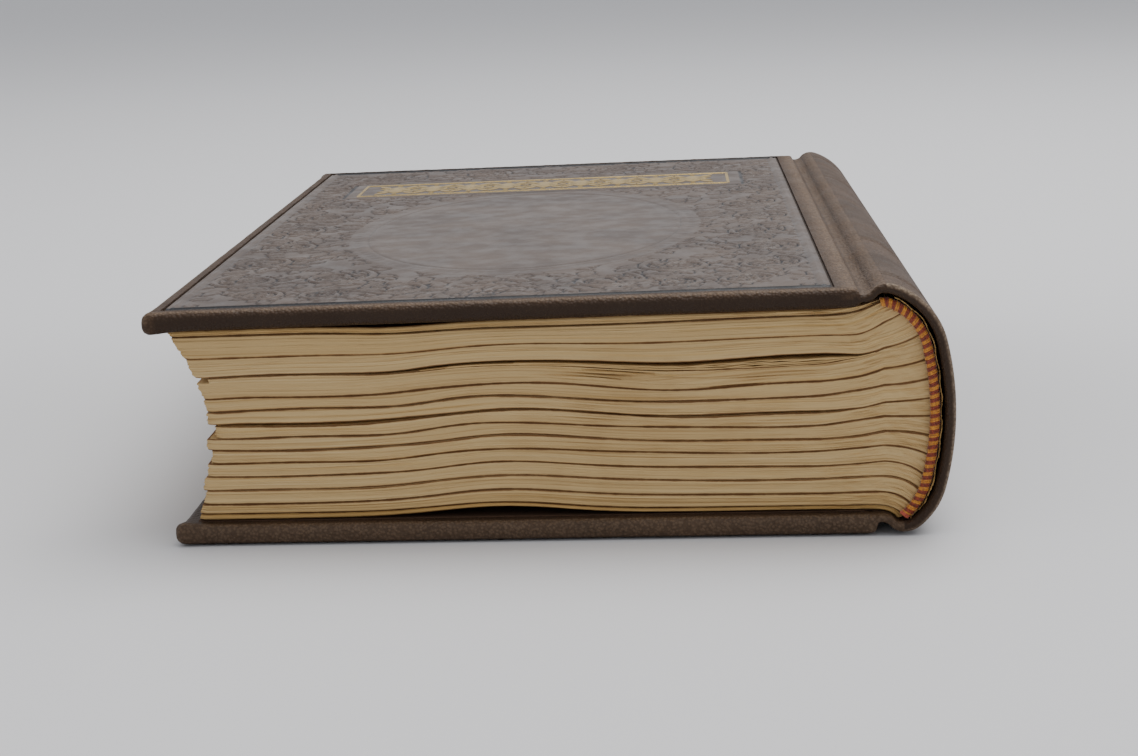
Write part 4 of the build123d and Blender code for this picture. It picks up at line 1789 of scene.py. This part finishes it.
@dataclass
class TooledPanel:
    """The pressed leather panel let into one cover, in two halves that meet across the middle."""

    plan: CoverPlan
    finish: Material
    cell: float
    margin: float = 4.0
    spine_margin: float = 5.7
    seat: float = 0.62
    # The painted shade along the slot at the head and tail, and on the panel's sides: its width and
    # its tone.
    painted_shade_rim: float = 2.6
    dark: float = -0.6
    depth: float = 1.0

    def build(self) -> list[Piece]:
        """Makes the halves.

        Returns:
            The tail half and the head half.
        """
        left = self.plan.fore + self.margin
        right = self.plan.edge - self.spine_margin
        centre = (left + right) / 2
        ornament = Ornament((right - left) / 2, BOOK_HALF_HEIGHT - self.margin, self.cell)
        rows = len(ornament.ys)
        cut = rows // 2
        made = []
        for end, first, last in ((End.TAIL, 0, cut), (End.HEAD, cut, rows - 1)):
            name = f"{self.plan.name}_panel_{end.name.lower()}"
            made.append(self.half(name, ornament, first, last, centre))
        return made

    def half(self, name: str, ornament: Ornament, first: int, last: int, centre: float) -> Piece:
        """Presses one half of the field into a sheet, then drops its sides and closes it below.

        Args:
            name: The piece's name.
            ornament: The field's heights.
            first: The first row of heights.
            last: The last row.
            centre: X of the field's middle.

        Returns:
            The closed panel.
        """
        across, along = len(ornament.xs) - 1, last - first
        piece = Bench.sheet(name, across, along)
        unit = Bench.points(piece)
        column = np.rint(unit[:, 0] * across).astype(int)
        row = np.rint(unit[:, 1] * along).astype(int) + first
        x = ornament.xs[column] + centre
        y = ornament.ys[row]
        relief = ornament.heights[row, column]
        z = self.plan.surface(x) + relief * self.depth
        side = self.plan.side.value
        Bench.put(piece, np.column_stack([x, y, z * side]) * MM)
        # How high the relief stands, which the finish turns into painted shade in the low parts.
        relief_and_painted_shade = (relief - ornament.ground) / (ornament.crown - ornament.ground)
        # Painted shade along the slot at the head and tail.
        relief_and_painted_shade = np.where(ornament.half_height - np.abs(y) < self.painted_shade_rim, self.dark, relief_and_painted_shade)
        Bench.mark(piece, "relief", relief_and_painted_shade)
        with Bench.editing():
            bpy.ops.mesh.region_to_loop()
            drop = (0, 0, -self.seat * side * MM)
            bpy.ops.mesh.extrude_edges_move(TRANSFORM_OT_translate={"value": drop})
            bpy.ops.mesh.edge_face_add()
        rim = [i for i, vertex in enumerate(piece.data.vertices) if vertex.select]
        points = Bench.points(piece)
        points[rim, 2] = (self.plan.surface(points[rim, 0] / MM) - self.seat) * side * MM
        Bench.put(piece, points)
        # Painted shade on the sides that stand in the slot.
        for number in rim:
            piece.data.attributes["relief"].data[number].value = self.dark
        complete(piece, 50, self.finish)
        return settle(piece, self.plan.body)


@dataclass
class GiltBand:
    """A gilt band of lozenges, leaves and dots between lines, near the head of the upper cover."""

    finish: Material
    centre: float = -11.9
    low: float = 60.0
    high: float = 85.0
    half_width: float = 58.0
    lift: float = 0.10
    sunk: float = -0.09
    count: int = 9
    side_room: float = 10.0
    leaf_pair: tuple[Colour, ...] = ((0.36, 6.0, 0.95, 1.0), (0.30, 2.3, 0.45, 0.8))

    def tile(self, name: str, corners: int, reach: Pair, power: float = 1.0) -> Piece:
        """One gilt shape: a disc of corners points, drawn to reach, raised and bevelled.

        Args:
            name: The shape's name.
            corners: How many points it has.
            reach: Half its width and half its height.
            power: Above 1 draws its sides in to points.

        Returns:
            The shape, centred on the origin.
        """
        piece = Bench.disc(name, corners)
        points = Bench.points(piece)
        angle = np.arctan2(points[:, 1], points[:, 0])
        x = np.sign(np.cos(angle)) * np.abs(np.cos(angle)) ** power * reach[0]
        y = np.sign(np.sin(angle)) * np.abs(np.sin(angle)) ** power * reach[1]
        Bench.put(piece, np.column_stack([x, y, np.zeros(len(x))]) * MM)
        with Bench.editing():
            rise = (0, 0, self.lift * MM)
            bpy.ops.mesh.extrude_region_move(TRANSFORM_OT_translate={"value": rise})
            bpy.ops.mesh.inset(thickness=0.12 * MM, depth=0.03 * MM)
        Bench.outward(piece)
        return piece

    def bar(self, name: str, length: float, width: float) -> Piece:
        """One straight gilt line with softened edges."""
        Bench.clear()
        lift = self.lift * MM
        bpy.ops.mesh.primitive_cube_add(
            size=1, scale=(length * MM, width * MM, lift), location=(0, 0, lift / 2)
        )
        piece = Bench.take(name)
        with Bench.editing():
            bpy.ops.mesh.bevel(offset=0.04 * MM, segments=1, affect="EDGES")
        return piece

    def lay(
        self, pattern: Piece, x: float, y: float, turn: float = 0.0, size: float = 1.0
    ) -> Piece:
        """Lays a copy of a shape on the cover.

        Args:
            pattern: The shape.
            x: Its place across the cover.
            y: Its place along the cover.
            turn: How far it is turned, in radians.
            size: How much larger it is.

        Returns:
            The copy.
        """
        twin = Bench.copy(pattern, pattern.name + "_laid")
        points = Bench.points(twin) / MM
        c, s = math.cos(turn) * size, math.sin(turn) * size
        px = x + points[:, 0] * c - points[:, 1] * s
        py = y + points[:, 0] * s + points[:, 1] * c
        pz = UPPER_PLAN.surface(px) + self.sunk + points[:, 2]
        Bench.put(twin, np.column_stack([px, py, pz]) * MM)
        return twin

    def build(self) -> Piece:
        """Makes the band.

        Returns:
            The joined gilt piece.
        """
        lozenge = self.tile("lozenge", 32, (4.4, 6.8), 1.6)
        leaf = self.tile("gilt_leaf", 24, (3.4, 1.15), 1.35)
        dot = self.tile("gilt_dot", 16, (0.85, 0.85))
        long_bar = self.bar("long_bar", self.half_width * 2, 0.9)
        thin_bar = self.bar("thin_bar", self.half_width * 2, 0.35)
        end_bar = self.bar("end_bar", self.high - self.low, 0.9)
        middle = (self.low + self.high) / 2
        laid = []
        for y, inward in ((self.low, 1), (self.high, -1)):
            laid.append(self.lay(long_bar, self.centre, y))
            laid.append(self.lay(thin_bar, self.centre, y + 1.5 * inward))
        for side in (-1, 1):
            x = self.centre + side * self.half_width
            laid.append(self.lay(end_bar, x, middle, math.pi / 2))
        pitch = (2 * self.half_width - self.side_room) / self.count
        for number in range(self.count):
            x = self.centre + (number - (self.count - 1) / 2) * pitch
            laid.append(self.lay(lozenge, x, middle))
            for up in (-1, 1):
                for aside in (-1, 1):
                    for out, rise, turn, size in self.leaf_pair:
                        place = (x + aside * pitch * out, middle + up * rise)
                        laid.append(self.lay(leaf, *place, up * aside * turn, size))
                laid.append(self.lay(dot, x, middle + up * 8.6))
            if number < self.count - 1:
                for y in (-8.2, -4.0, 0.0, 4.0, 8.2):
                    size = 1.25 if y == 0 else 0.8
                    laid.append(self.lay(dot, x + pitch / 2, middle + y, size=size))
        for pattern in (lozenge, leaf, dot, long_bar, thin_bar, end_bar):
            Bench.remove(pattern)
        piece = Bench.join(laid, "gilt_band")
        Bench.soften(piece, 30)
        dress(piece, self.finish)
        return settle(piece, Body.UPPER)


# ---------------------------------------------------------------------------
# Endbands and what lies behind them
# ---------------------------------------------------------------------------


@dataclass
class Endband:
    """One worked endband: a core wound with thread in two colours, in groups."""

    end: End
    finishes: Finishes
    span: Pair = (6.0, 148.0)
    width: float = 2.3
    height: float = 1.95
    inward: float = 0.55
    thread: float = 0.27
    pitch: float = 0.46
    group: int = 2
    lead: float = 1.3
    core_corners: int = 14

    @property
    def middle(self) -> float:
        """Y of the core's middle line."""
        return self.end.value * (PAGES_HALF_HEIGHT + self.height / 2 - 0.1)

    def centre(self, distance: float) -> Triple:
        """Place and heading of the core at a length along the back."""
        return PAGES_BACK.at(distance, -self.inward)

    def core(self) -> Piece:
        """The plain core that the thread is wound on, turned round each arc of the back."""
        start, stop = self.span
        piece = Bench.disc(f"{self.end.name.lower()}_endband_core", self.core_corners)
        points = Bench.points(piece)
        x, z, _ = self.centre(PAGES_BACK.distance(start))
        turn = math.radians(start)
        radial = points[:, 0] * (self.width / 2 - 0.3)
        y = self.middle + points[:, 1] * (self.height / 2 - 0.25)
        place = np.column_stack([x + radial * math.sin(turn), y, z + radial * math.cos(turn)])
        Bench.put(piece, place * MM)
        with Bench.editing():
            for arc in PAGES_BACK.arcs:
                low, high = max(arc.start, start), min(arc.stop, stop)
                if high > low:
                    arc.spin(max(3, int((high - low) / 3)), high - low)
        complete(piece, 40, self.finishes.silks["red"])
        return piece

    def windings(self) -> dict[str, Piece]:
        """The turns of thread, sorted by colour."""
        chance = random.Random(5 + self.end.value)
        Bench.clear()
        minor, inset = 0.2, 0.26
        bpy.ops.mesh.primitive_torus_add(
            major_segments=16, minor_segments=6, major_radius=1.0, minor_radius=minor
        )
        ring = Bench.take("thread_turn")
        unit = Bench.points(ring)
        reach = np.hypot(unit[:, 0], unit[:, 1])
        angle = np.arctan2(unit[:, 1], unit[:, 0])
        off = (reach - 1.0) / minor * self.thread
        first, last = (PAGES_BACK.distance(heading) for heading in self.span)
        first -= self.lead
        count = int((last - first) / self.pitch)
        sorted_turns: dict[str, list[Piece]] = {"gold": [], "red": [], "pink": []}
        for number in range(count):
            distance = first + (number + 0.5) * self.pitch
            x, z, heading = self.centre(distance)
            turn = math.radians(heading + chance.uniform(-2.5, 2.5))
            slack = chance.uniform(-0.04, 0.07)
            a, b = self.width / 2 - inset + slack, self.height / 2 - inset + slack
            squared = (np.abs(np.cos(angle)) ** 3 + np.abs(np.sin(angle)) ** 3) ** (-1 / 3)
            radial = np.cos(angle) * squared * a + np.cos(angle) * off
            outwards = np.sin(angle) * squared * b + np.sin(angle) * off
            along = unit[:, 2] / minor * self.thread - 0.30 * np.cos(angle)
            twin = Bench.copy(ring, "turn")
            place = np.column_stack(
                [
                    x + radial * math.sin(turn) + along * math.cos(turn),
                    self.middle + outwards,
                    z + radial * math.cos(turn) - along * math.sin(turn),
                ]
            )
            Bench.put(twin, place * MM)
            late = number >= count - 2
            colour = "pink" if late else ("gold" if (number // self.group) % 2 == 0 else "red")
            sorted_turns[colour].append(twin)
        Bench.remove(ring)
        return {
            colour: Bench.join(turns, f"{self.end.name.lower()}_endband_{colour}")
            for colour, turns in sorted_turns.items()
        }

    def build(self) -> list[Piece]:
        """Makes the core and the thread.

        Returns:
            The pieces.
        """
        core = self.core()
        threads = self.windings()
        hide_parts(f"{self.end.name.lower()}_endband")
        for colour, piece in threads.items():
            complete(piece, 60, self.finishes.silks[colour])
        return [settle(piece, Body.BLOCK) for piece in (core, *threads.values())]


@dataclass
class FrayedLining:
    """The cream lining paper of the back, torn ragged where it ends behind an endband."""

    end: End
    finish: Material
    span: Pair = (24.0, 138.0)
    outwards: float = 0.92
    thickness: float = 0.22
    depth: float = 9.0
    seed: int = 11

    def build(self) -> Piece:
        """Makes the strip.

        Returns:
            The closed strip.
        """
        chance = random.Random(self.seed + self.end.value)
        along = 150
        piece = Bench.sheet(f"{self.end.name.lower()}_frayed_lining", along, 6)
        unit = Bench.points(piece)
        first, last = (PAGES_BACK.distance(h) for h in self.span)
        column = np.rint(unit[:, 0] * along).astype(int)
        cuts = range(along + 1)
        tear = np.array([chance.uniform(-0.45, 0.35) + 0.35 * math.sin(i * 0.21) for i in cuts])
        ripple = np.array([0.14 * math.sin(i * 0.37 + chance.uniform(0, 0.6)) for i in cuts])
        outer = PAGES_HALF_HEIGHT + 1.15 + tear[column]
        y = self.end.value * (outer - (1 - unit[:, 1]) * self.depth)
        rows = []
        for share, wave, lift in zip(unit[:, 0], ripple[column], unit[:, 1]):
            x, z, _ = PAGES_BACK.at(first + (last - first) * share, self.outwards + wave * lift)
            rows.append((x, z))
        xz = np.array(rows)
        Bench.put(piece, np.column_stack([xz[:, 0], y, xz[:, 1]]) * MM)
        make_sheet(piece, self.thickness, 45, self.finish)
        return settle(piece, Body.BLOCK)


@dataclass
class EndpaperHinge:
    """The strip of endpaper that crosses a joint, from the pasted half to the first leaf."""

    plan: CoverPlan
    finish: Material
    reach: float = 9.0
    past: float = 4.6
    gap: float = 0.3
    thickness: float = 0.1
    margin: float = 4.0
    rise_start: float = 1.5
    rise_length: float = 6.0

    def build(self) -> Piece:
        """Makes the strip and bakes its place into its mesh.

        Returns:
            The strip.
        """
        edge = self.plan.edge
        piece = Bench.sheet(f"{self.plan.name}_endpaper_hinge", 24, 40)
        unit = Bench.points(piece)
        x = edge - self.reach + unit[:, 0] * (self.reach + self.past)
        under = self.plan.surface(np.minimum(x, edge)) - COVER - self.gap
        rise = np.clip((x - edge + self.rise_start) / self.rise_length, 0, 1)
        z = under + JOINT_RISE * rise**JOINT_CURVE + 0.05
        y = (unit[:, 1] * 2 - 1) * (BOOK_HALF_HEIGHT - self.margin)
        side = self.plan.side.value
        Bench.put(piece, np.column_stack([x, y, z * side]) * MM)
        make_sheet(piece, self.thickness, 40, self.finish)
        self.plan.blend(piece)
        report(piece)
        return piece


# ---------------------------------------------------------------------------
# The rest of the scene
# ---------------------------------------------------------------------------


@dataclass
class HiddenParts:
    """The parts inside the binding, which keep their built shapes."""

    finishes: Finishes

    def build(self) -> None:
        """Dresses them."""
        nodes = frame["nodes"]
        for name in ("upper_board", "lower_board"):
            dress(nodes[name], self.finishes.board)
        # The pastedowns take the dark endpaper, painted shade in the gaps under the boards.
        for name in ("upper_pastedown", "lower_pastedown"):
            dress(nodes[name], self.finishes.endpaper)
        dress(nodes["mull"], self.finishes.mull)
        dress(nodes["spine_lining"], self.finishes.brown_paper)
        dress(nodes["spine_stiffener"], self.finishes.card)
        for number in range(1, 5):
            dress(nodes[f"sewing_tape_{number}"], self.finishes.linen)
        LOG.info("hidden parts dressed")


@dataclass(frozen=True)
class Lamp:
    """One soft square light: where it hangs, what it points at, its side and its watts."""

    name: str
    place: Triple
    target: Triple
    size: float
    power: float
    colour: Triple

    def build(self) -> None:
        """Hangs the light."""
        data = bpy.data.lights.new(self.name, "AREA")
        data.shape = "SQUARE"
        data.size = self.size
        data.energy = self.power
        data.color = self.colour
        lamp = bpy.data.objects.new(self.name, data)
        bpy.context.scene.collection.objects.link(lamp)
        lamp.location = self.place
        aim = Vector(self.target) - Vector(self.place)
        lamp.rotation_mode = "QUATERNION"
        lamp.rotation_quaternion = aim.to_track_quat("-Z", "Y")


@dataclass
class Studio:
    """A pale table, soft light from above, and the camera."""

    finishes: Finishes
    overhead: Lamp = Lamp(
        "overhead", (0.36, 0.22, 1.32), (0.02, 0, 0), 1.3, 23.5, (1.0, 0.99, 0.97)
    )
    table_size: float = 30.0
    table_level: float = -0.0003
    sky_colour: Colour = (0.80, 0.81, 0.84, 1)
    sky_strength: float = 0.82
    sensor: float = 36.0
    camera_place: Triple = (0.0285, -0.5711, 0.1409)
    up: Triple = (0.01989, 0.22540, 0.97410)
    forward: Triple = (-0.0522, 0.9732, -0.2241)
    lens: float = 64.38

    def table(self) -> None:
        """The table top, with its painted shadow."""
        Bench.clear()
        bpy.ops.mesh.primitive_grid_add(
            x_subdivisions=8,
            y_subdivisions=8,
            size=self.table_size,
            location=(0, 0, self.table_level),
        )
        top = Bench.take("table_top_with_painted_shadow")
        dress(top, self.finishes.table)

    def sky(self) -> None:
        """Even grey light from all round."""
        world = bpy.data.worlds.new("studio")
        bpy.context.scene.world = world
        world.use_nodes = True
        nodes = world.node_tree.nodes
        back = nodes.get("Background") or nodes.new("ShaderNodeBackground")
        back.inputs["Color"].default_value = self.sky_colour
        back.inputs["Strength"].default_value = self.sky_strength

    def camera(self) -> None:
        """The camera, low and close at the tail."""
        data = bpy.data.cameras.new("camera")
        data.lens = self.lens
        data.sensor_width = self.sensor
        data.clip_start, data.clip_end = 0.01, 100.0
        camera = bpy.data.objects.new("camera", data)
        bpy.context.scene.collection.objects.link(camera)
        back = -Vector(self.forward).normalized()
        right = Vector(self.up).cross(back).normalized()
        up = back.cross(right)
        turn = Matrix((right, up, back)).transposed().to_4x4()
        camera.matrix_world = Matrix.Translation(self.camera_place) @ turn
        bpy.context.scene.camera = camera

    def build(self) -> None:
        """Sets everything up."""
        self.table()
        self.overhead.build()
        self.sky()
        self.camera()
        LOG.info("studio ready")


def main() -> None:
    """Builds the book, piece by piece, and the room round it."""
    logging.basicConfig(level=logging.INFO, format="%(name)s: %(message)s")
    finishes = Finishes()
    Studio(finishes).build()
    HiddenParts(finishes).build()
    stack = PageStack(finishes.pages, finishes.endpaper)
    stack.build()
    LooseLeaves(stack, finishes.pages).build()
    for plan in (UPPER_PLAN, LOWER_PLAN):
        CoverHide(plan, finishes.hide).build()
        EndpaperHinge(plan, finishes.endpaper).build()
    SpineHide(finishes.spine).build()
    TooledPanel(UPPER_PLAN, finishes.panel, 0.54).build()
    TooledPanel(LOWER_PLAN, finishes.panel, 1.0, depth=0.45).build()
    GiltBand(finishes.gilt).build()
    for end in End:
        Endband(end, finishes).build()
        FrayedLining(end, finishes.torn_paper).build()


if __name__ == "__main__":
    main()
